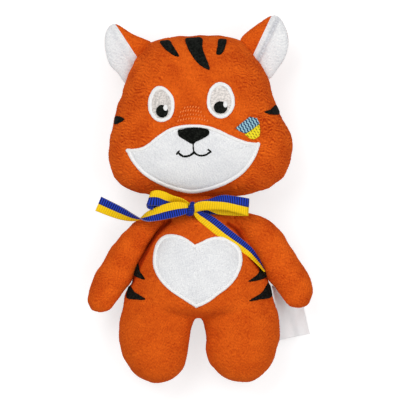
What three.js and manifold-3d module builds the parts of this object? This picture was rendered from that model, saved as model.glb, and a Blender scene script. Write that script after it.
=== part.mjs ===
// A stuffed plush tiger lying on its back, in millimetres.
// +Z is out of its front, +Y is towards the top of its head and +X is towards the toy's own left side.
// The origin is on the surface it lies on, under the middle of its outline.
// Each stuffed piece is a skin of a front and a back panel round its own stuffing.

import * as THREE from 'three';
import { mergeVertices } from 'three/addons/utils/BufferGeometryUtils.js';
import Module from 'manifold-3d';

const wasm = await Module();
wasm.setup();

// Cloth and clearances
const skinThickness = 1.3;
const seamGap = 0.3;
const stuffingGap = 0.3;
const neighbourGap = 0.4;
const restHeight = 0;
const cutMargin = 400;

// Head
const headHalfWidth = 61.4;
const headHalfHeight = 53.9;
const headCentreX = 0.7;
const headCentreY = 55.6;
const headSeamHeight = 28;
const headFrontDepth = 34;
const headBackDepth = 28.5;

// Body: the chest, belly and hips in one
const bodyHalfWidth = 51;
const bodyHalfDepth = 26.5;
const bodySeamHeight = 26;
const bodyLength = 75;
const bodyBottomY = -74;

// Arms
const armLength = 64;
const armHalfWidth = 12.4;
const armHalfDepth = 12;
const armSeamHeight = 27.5;
const armRootX = 36;
const armRootY = -18;
const shoulderAxisY = -27;

// Legs
const legHalfWidth = 26;
const legHalfDepth = 20.5;
const legLength = 58.6;
const legTopY = -64;
const hipAxisY = -84.2;
const legSeamHeight = 24.5;
const legDroopDegrees = 4.5;
const legSplit = 0.25;

// Ears
const earLength = 34;
const earHalfDepth = 4;
const leftEarX = 45;
const leftEarY = 105;
const rightEarX = -50;
const rightEarY = 102;

// Felt-like and stitched trim
const patchThickness = 1.1;
const patchLift = 0.45;
const stitchThickness = 0.8;
const borderWidth = 2.3;
const muzzleHalfWidth = 45;
const muzzleHalfHeight = 23.3;
const muzzleCentreX = -4.4;
const muzzleCentreY = 27.5;
const heartHalfWidth = 29.7;
const heartHalfHeight = 27.2;
const heartCentreX = -1.4;
const heartCentreY = -44.6;
const eyeHalfWidth = 8.8;
const eyeHalfHeight = 12;
const eyeTaper = 0.12;
const pupilRadius = 4.3;
const highlightHalfWidth = 1.5;
const highlightHalfHeight = 2.1;
const noseHalfWidth = 10.3;
const noseHalfHeight = 5.4;
const noseCentreY = 43.6;
const mouthThread = 1.2;
const mouthDrop = 6;
const mouthReach = 11;
const cheekHalfWidth = 8;
const cheekHalfHeight = 7.4;
const cheekCentreX = 31.8;
const cheekCentreY = 47.9;

// Ribbon and label
const ribbonWidth = 10.4;
const ribbonThickness = 0.8;
const ribbonTopY = -2.2;
const knotWidth = 5;
const knotHeight = 10.4;
const knotDepth = 6;
const knotX = -6.8;
const knotY = -5.6;
const bowSpan = 60;
const bowDepth = 6.4;
const tailLength = 62;
const labelLength = 37;
const labelReach = 18;
const labelThickness = 0.5;
const labelTopX = 48.2;
const labelTopY = -57.5;

// How finely each kind of piece is divided
const headSides = 36;
const bodySides = 22;
const limbSides = 14;
const patchSides = 32;
const smallSides = 16;
const stripSteps = 14;
const hipSides = 48;
const outlineSteps = 8;

// Outlines, as shares of the half width and half height of what they belong to

const headOutlineShares = [
  [1.00, -0.45], [0.99, -0.25], [0.94, -0.12], [0.84, 0.08], [0.77, 0.33], [0.71, 0.53],
  [0.58, 0.75], [0.45, 0.92], [0.30, 0.98], [0.07, 1.00], [-0.31, 0.98], [-0.45, 0.95],
  [-0.56, 0.91], [-0.69, 0.73], [-0.80, 0.51], [-0.85, 0.32], [-0.92, 0.08], [-0.98, -0.19],
  [-1.00, -0.48], [-0.96, -0.67], [-0.89, -0.81], [-0.73, -0.92], [-0.53, -0.97], [-0.28, -0.99],
  [-0.01, -1.00], [0.27, -0.99], [0.51, -0.96], [0.68, -0.91], [0.82, -0.84], [0.93, -0.71],
];
const muzzleOutlineShares = [
  [0.01, 1.00], [-0.35, 0.92], [-0.59, 0.65], [-0.77, 0.40], [-0.96, 0.29], [-1.00, 0.20],
  [-0.93, -0.08], [-0.73, -0.54], [-0.49, -0.81], [-0.19, -0.96], [0.06, -1.00], [0.31, -0.95],
  [0.61, -0.73], [0.85, -0.35], [0.96, 0.03], [1.00, 0.38], [0.81, 0.50], [0.61, 0.69], [0.31, 0.92],
];
const heartOutlineShares = [
  [-0.05, 0.54], [-0.14, 0.68], [-0.32, 0.79], [-0.62, 0.80], [-0.86, 0.67], [-0.99, 0.44],
  [-1.00, 0.21], [-0.95, -0.05], [-0.84, -0.38], [-0.67, -0.59], [-0.46, -0.76], [-0.23, -0.90],
  [-0.01, -1.00], [0.24, -0.84], [0.47, -0.64], [0.69, -0.42], [0.86, -0.17], [0.97, 0.02],
  [1.00, 0.21], [0.94, 0.44], [0.78, 0.62], [0.58, 0.72], [0.35, 0.74], [0.13, 0.67],
];
const noseOutlineShares = [
  [0, 0.91], [-0.58, 0.89], [-0.97, 0.66], [-0.84, -0.06], [-0.45, -0.75], [-0.04, -1.00],
  [0.39, -0.75], [0.84, -0.06], [0.98, 0.66], [0.58, 0.90],
];
const cheekOutlineShares = [
  [-1.00, 0.04], [-0.50, 0.55], [0.13, 1.00], [0.61, 0.87], [0.87, 0.41], [0.96, -0.05],
  [0.96, -0.69], [0.50, -0.95], [-0.11, -0.86], [-0.63, -0.35],
];
const foreheadStripeShares = {
  right: [[-0.45, 0.91], [-0.34, 0.92], [-0.30, 0.86], [-0.24, 0.75], [-0.31, 0.76], [-0.40, 0.84]],
  middle: [[-0.17, 0.93], [0.01, 0.93], [0.03, 0.80], [0.09, 0.59], [-0.01, 0.63], [-0.09, 0.74]],
  left: [[0.19, 0.92], [0.28, 0.92], [0.26, 0.84], [0.22, 0.77], [0.17, 0.77], [0.18, 0.86]],
};
const headSideStripeShares = {
  right: [[-0.905, 0.01], [-0.84, -0.03], [-0.87, -0.07], [-0.925, -0.09]],
  left: [[0.79, 0.13], [0.82, 0.03], [0.70, 0.03], [0.75, 0.09]],
};

// Body side stripes, as shares of the body's half width and length, from the middle of its top
const bodyStripeShares = {
  right_upper: [[-0.80, -0.58], [-0.85, -0.65], [-0.73, -0.71], [-0.77, -0.63]],
  right_lower: [[-0.89, -0.77], [-0.92, -0.86], [-0.73, -0.885], [-0.84, -0.81]],
  left_upper: [[0.77, -0.61], [0.83, -0.68], [0.65, -0.72], [0.74, -0.655]],
  left_lower: [[0.86, -0.75], [0.90, -0.85], [0.66, -0.89], [0.80, -0.82]],
};

// Each row is a place down the body, the half width there and the depth there, as shares
const bodyProfileShares = [
  [0, 0.42, 0.10], [0.03, 0.46, 0.28], [0.08, 0.49, 0.42], [0.155, 0.53, 0.56], [0.24, 0.58, 0.72],
  [0.36, 0.68, 0.87], [0.5, 0.80, 0.96], [0.62, 0.88, 1], [0.8, 0.945, 1], [0.93, 0.99, 0.94],
  [1, 1.01, 0.90],
];

// Each row is a place on a limb's middle line, across and along, and the half width and depth there
const rightArmShares = [
  [0.03, 0.07, 0.58, 0.55], [-0.03, -0.02, 0.70, 0.80], [-0.17, -0.18, 0.79, 0.97], [-0.28, -0.37, 0.84, 1],
  [-0.375, -0.56, 0.90, 1], [-0.44, -0.70, 0.84, 0.92], [-0.48, -0.79, 0.66, 0.72], [-0.51, -0.855, 0.36, 0.40],
  [-0.52, -0.873, 0.14, 0.16],
];
const leftArmShares = [
  [-0.03, 0.06, 0.58, 0.55], [0.02, -0.02, 0.76, 0.80], [0.19, -0.18, 0.92, 0.97], [0.285, -0.37, 1, 1],
  [0.385, -0.56, 0.98, 1], [0.45, -0.69, 0.86, 0.92], [0.49, -0.775, 0.66, 0.72], [0.515, -0.83, 0.36, 0.40],
  [0.52, -0.842, 0.14, 0.16],
];
const rightLegShares = [
  [-1, 0, 0.80, 0.16], [-1.01, -0.03, 0.88, 0.47], [-1.01, -0.11, 0.95, 0.75], [-1.02, -0.22, 0.965, 0.95],
  [-1.07, -0.34, 0.965, 1], [-1.13, -0.51, 0.90, 0.98], [-1.14, -0.66, 0.855, 0.94], [-1.13, -0.80, 0.74, 0.84],
  [-1.10, -0.92, 0.50, 0.62], [-1.09, -0.98, 0.27, 0.35], [-1.09, -1, 0.12, 0.14],
];
const leftLegShares = [
  [1, 0, 0.80, 0.16], [1.01, -0.03, 0.88, 0.47], [1.01, -0.11, 0.95, 0.75], [1.02, -0.22, 0.965, 0.95],
  [1.06, -0.34, 0.97, 1], [1.13, -0.51, 0.95, 0.98], [1.07, -0.66, 0.86, 0.94], [1.06, -0.80, 0.74, 0.84],
  [1.09, -0.90, 0.52, 0.62], [1.12, -0.955, 0.27, 0.35], [1.13, -0.975, 0.12, 0.14],
];

// Ear outlines and the line between the white front and the orange back, as shares of the ear's length
const leftEarOutlineShares = [
  [0.00, -0.70], [0.22, -0.45], [0.33, -0.28], [0.395, -0.065], [0.39, 0.15], [0.32, 0.35],
  [0.23, 0.49], [0.14, 0.525], [0.015, 0.49], [-0.29, 0.28], [-0.50, 0.08], [-0.50, -0.15], [-0.28, -0.48],
];
const leftEarPanelShares = [[0.06, 0.49], [-0.27, -0.21]];
const rightEarOutlineShares = [
  [0.05, -0.68], [0.33, -0.20], [0.52, -0.02], [0.48, 0.11], [0.14, 0.26], [-0.13, 0.43], [-0.235, 0.445],
  [-0.33, 0.37], [-0.385, 0.20], [-0.375, -0.05], [-0.295, -0.32], [-0.14, -0.48],
];
const rightEarPanelShares = [[-0.18, 0.44], [0.22, -0.17]];

// Bow loops and ribbon tails: each row is a place across, up and out from the knot, as shares
const leftLoopShares = [[0.03, 0.03, 0.1], [0.3, 0.16, 0.7], [0.7, 0.22, 0.95], [1.08, 0.06, 0.95]];
const rightLoopShares = [[-0.03, 0.05, 0.1], [-0.3, 0.25, 0.75], [-0.55, 0.5, 1.1], [-0.76, 0.66, 1.2]];
const leftTailShares = [
  [0.072, -0.064], [0.21, -0.13], [0.37, -0.25], [0.52, -0.365], [0.64, -0.47], [0.74, -0.585],
];
const rightTailShares = [
  [-0.046, -0.01, 0], [-0.20, -0.02, 0], [-0.36, -0.07, -0.1], [-0.49, -0.10, -0.3], [-0.55, -0.125, -0.4],
  [-0.64, -0.08, -0.5], [-0.74, -0.045, -0.6], [-0.86, 0, -0.8], [-0.98, 0.05, -1.1],
];
const rightTailTurnShares = [0, 0, 0.05, 0.25, 0.5, 0.8, 0.97, 1, 1];

// Curves and tables

function smoothLoop(points, steps) {
  const curve = new THREE.CatmullRomCurve3(points.map(([x, y]) => new THREE.Vector3(x, y, 0)), true);
  return curve.getSpacedPoints(steps).slice(0, steps).map((p) => [p.x, p.y]);
}

function scaled(shares, centreX, centreY, halfWidth, halfHeight) {
  return shares.map(([x, y]) => [centreX + x * halfWidth, centreY + y * halfHeight]);
}

// A value between the rows of a table, by a smooth curve through them
function readTable(rows, place, column) {
  const last = rows.length - 1;
  let i = 0;
  while (i < last - 1 && place > rows[i + 1][0]) i += 1;
  const slope = (k) => {
    const before = rows[Math.max(k - 1, 0)];
    const after = rows[Math.min(k + 1, last)];
    return (after[column] - before[column]) / (after[0] - before[0]);
  };
  const span = rows[i + 1][0] - rows[i][0];
  const t = THREE.MathUtils.clamp((place - rows[i][0]) / span, 0, 1);
  const from = (1 + 2 * t) * (1 - t) * (1 - t) * rows[i][column] + t * (1 - t) * (1 - t) * span * slope(i);
  return from + t * t * (3 - 2 * t) * rows[i + 1][column] + t * t * (t - 1) * span * slope(i + 1);
}

// The distance from a centre to an outline, as a function of the angle
function radiusOf(points, centreX, centreY) {
  const loop = smoothLoop(points, outlineSteps * points.length);
  const polar = loop.map(([x, y]) => {
    const [across, up] = [x - centreX, y - centreY];
    return [Math.atan2(up, across), Math.hypot(across, up)];
  });
  polar.sort((a, b) => a[0] - b[0]);
  const turn = 2 * Math.PI;
  const first = polar[0];
  const last = polar[polar.length - 1];
  const rows = [[last[0] - turn, last[1]], ...polar, [first[0] + turn, first[1]]];
  return (angle) => {
    const wrapped = Math.atan2(Math.sin(angle), Math.cos(angle));
    let i = 0;
    while (wrapped > rows[i + 1][0]) i += 1;
    const t = (wrapped - rows[i][0]) / (rows[i + 1][0] - rows[i][0]);
    return rows[i][1] + t * (rows[i + 1][1] - rows[i][1]);
  };
}

// Closed surfaces from rings of points

// Rings of equal length are skinned in order, and each end is closed by a fan to its own middle point
function skinRings(rings) {
  const count = rings[0].length;
  const middle = (ring) => ring.reduce((sum, p) => sum.add(p), new THREE.Vector3()).divideScalar(count);
  const points = [...rings.flat(), middle(rings[0]), middle(rings[rings.length - 1])];
  const index = [];
  for (let r = 0; r < rings.length - 1; r += 1) {
    for (let j = 0; j < count; j += 1) {
      const a = r * count + j;
      const b = r * count + ((j + 1) % count);
      index.push(a, b, b + count, a, b + count, a + count);
    }
  }
  const start = points.length - 2;
  const lastRing = (rings.length - 1) * count;
  for (let j = 0; j < count; j += 1) {
    const next = (j + 1) % count;
    index.push(start, next, j);
    index.push(start + 1, lastRing + j, lastRing + next);
  }
  return indexed(points, index);
}

// Rings skinned in order and the last joined to the first, as for a hoop
function skinHoop(rings) {
  const count = rings[0].length;
  const index = [];
  for (let r = 0; r < rings.length; r += 1) {
    const here = r * count;
    const there = ((r + 1) % rings.length) * count;
    for (let j = 0; j < count; j += 1) {
      const next = (j + 1) % count;
      index.push(here + j, here + next, there + next, here + j, there + next, there + j);
    }
  }
  return indexed(rings.flat(), index);
}

function indexed(points, index) {
  const geometry = new THREE.BufferGeometry();
  const numbers = points.flatMap((point) => point.toArray());
  geometry.setAttribute('position', new THREE.Float32BufferAttribute(numbers, 3));
  geometry.setIndex(index);
  return geometry;
}

// Solids for cutting and joining

function solidOf(geometry) {
  const bare = geometry.clone();
  bare.deleteAttribute('normal');
  bare.deleteAttribute('uv');
  const merged = mergeVertices(bare);
  const solid = new wasm.Manifold(new wasm.Mesh({
    numProp: 3,
    vertProperties: new Float32Array(merged.attributes.position.array),
    triVerts: new Uint32Array(merged.index.array),
  }));
  return solid;
}

function geometryOf(solid) {
  const mesh = solid.getMesh();
  const geometry = new THREE.BufferGeometry();
  geometry.setAttribute('position', new THREE.BufferAttribute(mesh.vertProperties, 3));
  geometry.setIndex(new THREE.BufferAttribute(mesh.triVerts, 1));
  return geometry;
}

function blockFrom(low, high) {
  const size = high.clone().sub(low);
  const geometry = new THREE.BoxGeometry(size.x, size.y, size.z);
  geometry.translate(...low.clone().add(high).multiplyScalar(0.5).toArray());
  return solidOf(geometry);
}

// Everything above a tilted seam plane through a point
function halfSpace(point, normal) {
  const geometry = new THREE.BoxGeometry(cutMargin, cutMargin, cutMargin);
  geometry.translate(0, 0, cutMargin / 2);
  const turn = new THREE.Quaternion().setFromUnitVectors(new THREE.Vector3(0, 0, 1), normal);
  geometry.applyQuaternion(turn);
  geometry.translate(...point.toArray());
  return solidOf(geometry);
}

// A lying cylinder along X, for a hinge that turns about X
function barrel(radius, y, z, fromX, toX, sides) {
  const geometry = new THREE.CylinderGeometry(radius, radius, toX - fromX, sides);
  geometry.rotateZ(Math.PI / 2);
  geometry.translate((fromX + toX) / 2, y, z);
  return solidOf(geometry);
}

// The solid turned about an axis through a point
function turned(solid, point, axis, degrees) {
  const geometry = geometryOf(solid);
  geometry.translate(...point.clone().negate().toArray());
  geometry.applyQuaternion(new THREE.Quaternion().setFromAxisAngle(axis, THREE.MathUtils.degToRad(degrees)));
  geometry.translate(...point.toArray());
  return solidOf(geometry);
}

// A piece cut so that it stays clear of its neighbour all the way through its swing
function clearOfSwing(piece, neighbour, point, axis, angles) {
  return angles.reduce((left, angle) => left.subtract(turned(neighbour, point, axis, -angle)), piece);
}

// The largest body that a cut leaves, without its offcuts
function largestOf(solid) {
  const bodies = solid.decompose();
  return bodies.reduce((best, body) => (body.volume() > best.volume() ? body : best), bodies[0]);
}

// Stuffed forms

const sectionPower = 0.92;
const cordPower = 0.6;

function signedPower(value, power) {
  return Math.sign(value) * Math.abs(value) ** power;
}

// How a pillow's height falls from its middle, 0, to its seam, 1
const pillowFullness = 2.5;

function pillowFall(share) {
  return Math.sqrt(Math.max(0, 1 - Math.min(share, 1) ** pillowFullness));
}

// Rings from the middle of the front, over the seam, to the middle of the back
const pillowRingDegrees = [9.5, 23, 37, 51, 65, 78, 90, 102, 115, 129, 143, 157, 170.5];

function pillow({ radius, centreX, centreY, seamHeight, frontDepth, backDepth, sides, floor }, grow) {
  const rings = pillowRingDegrees.map((degrees) => {
    const angle = THREE.MathUtils.degToRad(degrees);
    const out = Math.sin(angle) ** (2 / pillowFullness);
    const depth = (degrees <= 90 ? frontDepth : backDepth) + grow;
    const z = Math.max(seamHeight + depth * Math.cos(angle), floor - Math.max(grow, -skinThickness));
    return Array.from({ length: sides }, (_, j) => {
      const turn = (2 * Math.PI * j) / sides;
      const reach = (radius(turn) + grow) * out;
      return new THREE.Vector3(centreX + reach * Math.cos(turn), centreY + reach * Math.sin(turn), z);
    });
  });
  return solidOf(skinRings(rings.reverse()));
}

// Sections at right angles to a middle line that lies in the plane of the seam
function loft(rows, sides, floor, grow) {
  const kept = rows.filter((row) => Math.min(row.width, row.depth) + grow > patchLift);
  const points = kept.map((row) => new THREE.Vector3(row.x, row.y, row.z));
  const last = kept.length - 1;
  const rings = kept.map((row, i) => {
    const along = points[Math.min(i + 1, last)].clone().sub(points[Math.max(i - 1, 0)]).normalize();
    const across = new THREE.Vector3(-along.y, along.x, 0).normalize();
    const up = new THREE.Vector3().crossVectors(along, across).normalize();
    if (up.z < 0) up.negate();
    const shift = along.clone().multiplyScalar(i === 0 ? -grow : i === last ? grow : 0);
    return Array.from({ length: sides }, (_, j) => {
      const turn = (2 * Math.PI * j) / sides;
      const side = signedPower(Math.cos(turn), sectionPower) * (row.width + grow);
      const rise = signedPower(Math.sin(turn), sectionPower) * (row.depth + grow);
      const point = points[i].clone().add(shift).addScaledVector(across, side).addScaledVector(up, rise);
      point.z = Math.max(point.z, floor - Math.max(grow, -skinThickness));
      return point;
    });
  });
  return solidOf(skinRings(rings));
}

// The front panel, the back panel and the stuffing of a form given as a function of how far it is grown
function stuffedPieces(form, seamPoint, seamNormal) {
  const hollow = form(-skinThickness);
  const skin = form(0).subtract(hollow);
  const offset = seamNormal.clone().multiplyScalar(seamGap / 2);
  const front = halfSpace(seamPoint.clone().add(offset), seamNormal);
  const back = halfSpace(seamPoint.clone().sub(offset), seamNormal.clone().negate());
  return {
    front: skin.intersect(front),
    back: skin.intersect(back),
    stuffing: form(-skinThickness - stuffingGap).intersect(hollow),
  };
}

const headRadius = radiusOf(
  scaled(headOutlineShares, headCentreX, headCentreY, headHalfWidth, headHalfHeight),
  headCentreX,
  headCentreY,
);

function headForm(grow) {
  return pillow({
    radius: headRadius,
    centreX: headCentreX,
    centreY: headCentreY,
    seamHeight: headSeamHeight,
    frontDepth: headFrontDepth,
    backDepth: headBackDepth,
    sides: headSides,
    floor: restHeight,
  }, grow);
}

function headSurface(x, y) {
  const reach = Math.hypot(x - headCentreX, y - headCentreY);
  const share = reach / headRadius(Math.atan2(y - headCentreY, x - headCentreX));
  return headSeamHeight + headFrontDepth * pillowFall(share);
}

const bodyTopY = bodyBottomY + bodyLength;

function bodyRow(share) {
  return {
    x: 0,
    y: bodyTopY - share * bodyLength,
    z: bodySeamHeight,
    width: bodyHalfWidth * readTable(bodyProfileShares, share, 1),
    depth: bodyHalfDepth * readTable(bodyProfileShares, share, 2),
  };
}

function bodyForm(grow) {
  const rows = bodyProfileShares.map(([share]) => bodyRow(share));
  return loft(rows, bodySides, restHeight, grow);
}

function bodySurface(x, y) {
  const row = bodyRow((bodyTopY - y) / bodyLength);
  const side = Math.min(Math.abs(x) / row.width, 1) ** (1 / sectionPower);
  return bodySeamHeight + row.depth * Math.sqrt(1 - side * side) ** sectionPower;
}

function armForm(shares, side, grow) {
  const rows = shares.map(([across, along, width, depth]) => ({
    x: side * armRootX + across * armLength,
    y: armRootY + along * armLength,
    z: armSeamHeight,
    width: armHalfWidth * width,
    depth: armHalfDepth * depth,
  }));
  return loft(rows, limbSides, restHeight, grow);
}

function legForm(shares, grow) {
  const rows = shares.map(([across, along, width, depth]) => ({
    x: across * legHalfWidth,
    y: legTopY + along * legLength,
    z: legSeamHeight,
    width: legHalfWidth * width,
    depth: legHalfDepth * depth,
  }));
  return loft(rows, limbSides, restHeight, grow);
}

// Hinges that neighbours are cut for

const acrossAxis = new THREE.Vector3(1, 0, 0);
const forwardAxis = new THREE.Vector3(-1, 0, 0);
const outAxis = new THREE.Vector3(0, 0, 1);
const shoulderPoint = new THREE.Vector3(0, shoulderAxisY, armSeamHeight);
const armSwingDegrees = [-5, 0, 10, 20, 30, 40, 50, 60, 70, 80, 90];
const earFoldDegrees = [-30, -20, -10, 0, 10, 20, 30, 40];

// Trim that follows a surface

function outwardNormal(surface, x, y) {
  const step = skinThickness / 4;
  const slopeX = (surface(x + step, y) - surface(x - step, y)) / (2 * step);
  const slopeY = (surface(x, y + step) - surface(x, y - step)) / (2 * step);
  return new THREE.Vector3(-slopeX, -slopeY, 1).normalize();
}

function onSurface(surface, x, y, lift) {
  return new THREE.Vector3(x, y, surface(x, y)).addScaledVector(outwardNormal(surface, x, y), lift);
}

// A patch filled from its centre to its outline
function patch(surface, outline, centre, lift, thickness, fillShares) {
  const ringAt = (share, height) => outline.map(([x, y]) => onSurface(
    surface,
    centre[0] + (x - centre[0]) * share,
    centre[1] + (y - centre[1]) * share,
    height,
  ));
  const below = fillShares.map((share) => ringAt(share, lift));
  const above = fillShares.map((share) => ringAt(share, lift + thickness)).reverse();
  return skinRings([...below, ...above]);
}

// A band inside an outline, with an opening in its middle
function band(surface, outline, centre, width, lift, thickness) {
  const inner = insetLoop(outline, centre, width);
  const rings = outline.map((point, i) => [
    onSurface(surface, ...point, lift),
    onSurface(surface, ...point, lift + thickness),
    onSurface(surface, ...inner[i], lift + thickness),
    onSurface(surface, ...inner[i], lift),
  ]);
  return skinHoop(rings);
}

function insetLoop(outline, centre, amount) {
  return outline.map(([x, y]) => {
    const reach = Math.hypot(x - centre[0], y - centre[1]);
    const share = (reach - amount) / reach;
    return [centre[0] + (x - centre[0]) * share, centre[1] + (y - centre[1]) * share];
  });
}

// An oval that is narrower at its top by the taper
function ovalLoop(x, y, halfWidth, halfHeight, taper) {
  return Array.from({ length: smallSides }, (_, j) => {
    const turn = (2 * Math.PI * j) / smallSides;
    const narrow = 1 - taper * Math.sin(turn);
    return [x + halfWidth * narrow * Math.cos(turn), y + halfHeight * Math.sin(turn)];
  });
}

function middleOf(points) {
  const sum = points.reduce(([sx, sy], [x, y]) => [sx + x, sy + y], [0, 0]);
  return [sum[0] / points.length, sum[1] / points.length];
}

// A flat strip along a path, given its width direction at each point of the path
function strip(path, acrossDirections, width, thickness, steps) {
  const curve = new THREE.CatmullRomCurve3(path);
  const directions = new THREE.CatmullRomCurve3(acrossDirections);
  const rings = Array.from({ length: steps + 1 }, (_, i) => {
    const t = i / steps;
    const along = curve.getTangent(t);
    const across = directions.getPoint(t);
    across.addScaledVector(along, -across.dot(along)).normalize();
    const out = new THREE.Vector3().crossVectors(across, along).normalize();
    const middle = curve.getPoint(t);
    return [[-1, -1], [1, -1], [1, 1], [-1, 1]].map(([a, b]) => middle.clone()
      .addScaledVector(across, (a * width) / 2)
      .addScaledVector(out, (b * thickness) / 2));
  });
  return skinRings(rings);
}

// Outward faces whatever way round the rings ran
function facingOut(geometry) {
  const position = geometry.attributes.position;
  const index = geometry.index.array;
  let volume = 0;
  const [a, b, c] = [new THREE.Vector3(), new THREE.Vector3(), new THREE.Vector3()];
  for (let i = 0; i < index.length; i += 3) {
    a.fromBufferAttribute(position, index[i]);
    b.fromBufferAttribute(position, index[i + 1]);
    c.fromBufferAttribute(position, index[i + 2]);
    volume += a.dot(b.cross(c));
  }
  if (volume < 0) geometry.setIndex(Array.from(index).reverse());
  return geometry;
}

// Finishes

const finishes = {
  orange_plush: [0xd4581a, 0.95],
  white_plush: [0xe9eaec, 0.95],
  stuffing: [0xf4f4f0, 1],
  black_thread: [0x12151a, 0.7],
  white_thread: [0xf2f2f2, 0.6],
  blue_thread: [0x5f9ab4, 0.6],
  yellow_thread: [0xe6d230, 0.6],
  ribbon: [0x2046b0, 0.6],
  label_satin: [0xe4e4e4, 0.4],
};

const tiger = new THREE.Group();

function addPiece(name, shape, finish) {
  const geometry = shape.isBufferGeometry ? facingOut(shape) : geometryOf(largestOf(shape));
  const [color, roughness] = finishes[finish];
  const mesh = new THREE.Mesh(geometry, new THREE.MeshStandardMaterial({ color, roughness, metalness: 0 }));
  mesh.name = name;
  tiger.add(mesh);
}

function addStuffed(prefix, pieces) {
  addPiece(`${prefix}_front_panel`, pieces.front, 'orange_plush');
  addPiece(`${prefix}_back_panel`, pieces.back, 'orange_plush');
  addPiece(`${prefix}_stuffing`, pieces.stuffing, 'stuffing');
}

// Head and body

function addHead() {
  const seam = new THREE.Vector3(headCentreX, headCentreY, headSeamHeight);
  addStuffed('head', stuffedPieces(headForm, seam, outAxis));
}

// The hips are hollowed for the round tops of the legs, and end flat in front of and behind them
function bodyWithHips(grow) {
  const reach = cutMargin / 2;
  const hollow = barrel(legHalfDepth + neighbourGap - grow, hipAxisY, legSeamHeight, -reach, reach, hipSides);
  return bodyForm(grow).subtract(hollow);
}

function addBody() {
  const seam = new THREE.Vector3(0, 0, bodySeamHeight);
  addStuffed('body', stuffedPieces(bodyWithHips, seam, outAxis));
}

function addArms() {
  const blocker = bodyForm(neighbourGap);
  for (const [name, shares, side] of [['right_arm', rightArmShares, -1], ['left_arm', leftArmShares, 1]]) {
    const keep = clearOfSwing(
      halfSpace(new THREE.Vector3(0, shoulderAxisY, 0), acrossAxis.clone().multiplyScalar(side)),
      blocker,
      shoulderPoint,
      forwardAxis,
      armSwingDegrees,
    );
    const pieces = stuffedPieces((grow) => armForm(shares, side, grow), shoulderPoint, outAxis);
    for (const part of Object.keys(pieces)) pieces[part] = pieces[part].intersect(keep);
    addStuffed(name, pieces);
  }
}

// Each leg is round about the hip above its axis, and droops a little below the level of the body
function addLegs() {
  const reach = cutMargin / 2;
  const hip = new THREE.Vector3(0, hipAxisY, legSeamHeight);
  const roundTop = barrel(legHalfDepth, hipAxisY, legSeamHeight, -reach, reach, hipSides);
  const below = halfSpace(hip, new THREE.Vector3(0, -1, 0));
  for (const [name, shares, side] of [['right_leg', rightLegShares, -1], ['left_leg', leftLegShares, 1]]) {
    const outward = acrossAxis.clone().multiplyScalar(side);
    const ownSide = halfSpace(outward.clone().multiplyScalar(legSplit), outward);
    const space = roundTop.add(below).intersect(ownSide);
    const pieces = stuffedPieces((grow) => legForm(shares, grow), hip, outAxis);
    for (const part of Object.keys(pieces)) {
      pieces[part] = turned(pieces[part].intersect(space), hip, forwardAxis, -legDroopDegrees);
    }
    addStuffed(name, pieces);
  }
}

// Ears: a thin pillow cut clear of the head, and split where the white front meets the orange back

function earForm(outlineShares, x, y) {
  const outline = scaled(outlineShares, x, y, earLength, earLength);
  return pillow({
    radius: radiusOf(outline, x, y),
    centreX: x,
    centreY: y,
    seamHeight: headSeamHeight,
    frontDepth: earHalfDepth,
    backDepth: earHalfDepth,
    sides: limbSides * 2,
    floor: restHeight,
  }, 0);
}

function addEar(name, side, outlineShares, panelShares, x, y) {
  const blocker = headForm(neighbourGap);
  const [tip, foot] = scaled(panelShares, x, y, earLength, earLength)
    .map(([pointX, pointY]) => new THREE.Vector3(pointX, pointY, 0));
  const edge = tip.clone().sub(foot).normalize();
  const outer = new THREE.Vector3(side * edge.y, -side * edge.x, 0);
  const hinge = earHinge(side);
  const ear = clearOfSwing(earForm(outlineShares, x, y), blocker, hinge.point, hinge.axis, earFoldDegrees);
  const gap = outer.clone().multiplyScalar(seamGap / 2);
  const lift = new THREE.Vector3(0, 0, headSeamHeight);
  const beyond = (sign) => halfSpace(tip.clone().add(lift).addScaledVector(gap, sign), outer)
    .intersect(halfSpace(lift.clone().add(new THREE.Vector3(0, 0, (sign * seamGap) / 2)), outAxis));
  addPiece(`${name}_front_panel`, ear.intersect(beyond(1)), 'white_plush');
  addPiece(`${name}_back_panel`, ear.subtract(beyond(-1)), 'orange_plush');
}

const leftEarSeamShares = [[0.45, 0.92], [0.71, 0.53]];
const rightEarSeamShares = [[-0.56, 0.91], [-0.80, 0.51]];

// The ear folds about its seam, which runs along the upper corner of the head
function earHinge(side) {
  const ends = side > 0 ? leftEarSeamShares : rightEarSeamShares;
  const [top, foot] = scaled(ends, headCentreX, headCentreY, headHalfWidth, headHalfHeight)
    .map(([x, y]) => new THREE.Vector3(x, y, headSeamHeight));
  const axis = top.clone().sub(foot).multiplyScalar(-side).normalize();
  return { point: top.clone().add(foot).multiplyScalar(0.5), axis };
}

function addEars() {
  addEar('right_ear', -1, rightEarOutlineShares, rightEarPanelShares, rightEarX, rightEarY);
  addEar('left_ear', 1, leftEarOutlineShares, leftEarPanelShares, leftEarX, leftEarY);
}

// Face

const patchFillShares = [0.15, 0.45, 0.75, 1];
const smallFillShares = [0.35, 1];

// A white patch and the stitched border round it
function addBorderedPatch(name, surface, loop, centre) {
  const border = band(surface, loop, centre, borderWidth, patchLift, patchThickness);
  addPiece(`${name}_border`, border, 'white_thread');
  const inner = insetLoop(loop, centre, borderWidth + seamGap);
  const middle = patch(surface, inner, centre, patchLift, patchThickness, patchFillShares);
  addPiece(`${name}_patch`, middle, 'white_plush');
}

function addMuzzle() {
  const centre = [muzzleCentreX, muzzleCentreY];
  const loop = smoothLoop(
    scaled(muzzleOutlineShares, muzzleCentreX, muzzleCentreY, muzzleHalfWidth, muzzleHalfHeight),
    patchSides,
  );
  addBorderedPatch('muzzle', headSurface, loop, centre);
}

const onPatchLift = patchLift + patchThickness + seamGap;

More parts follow.
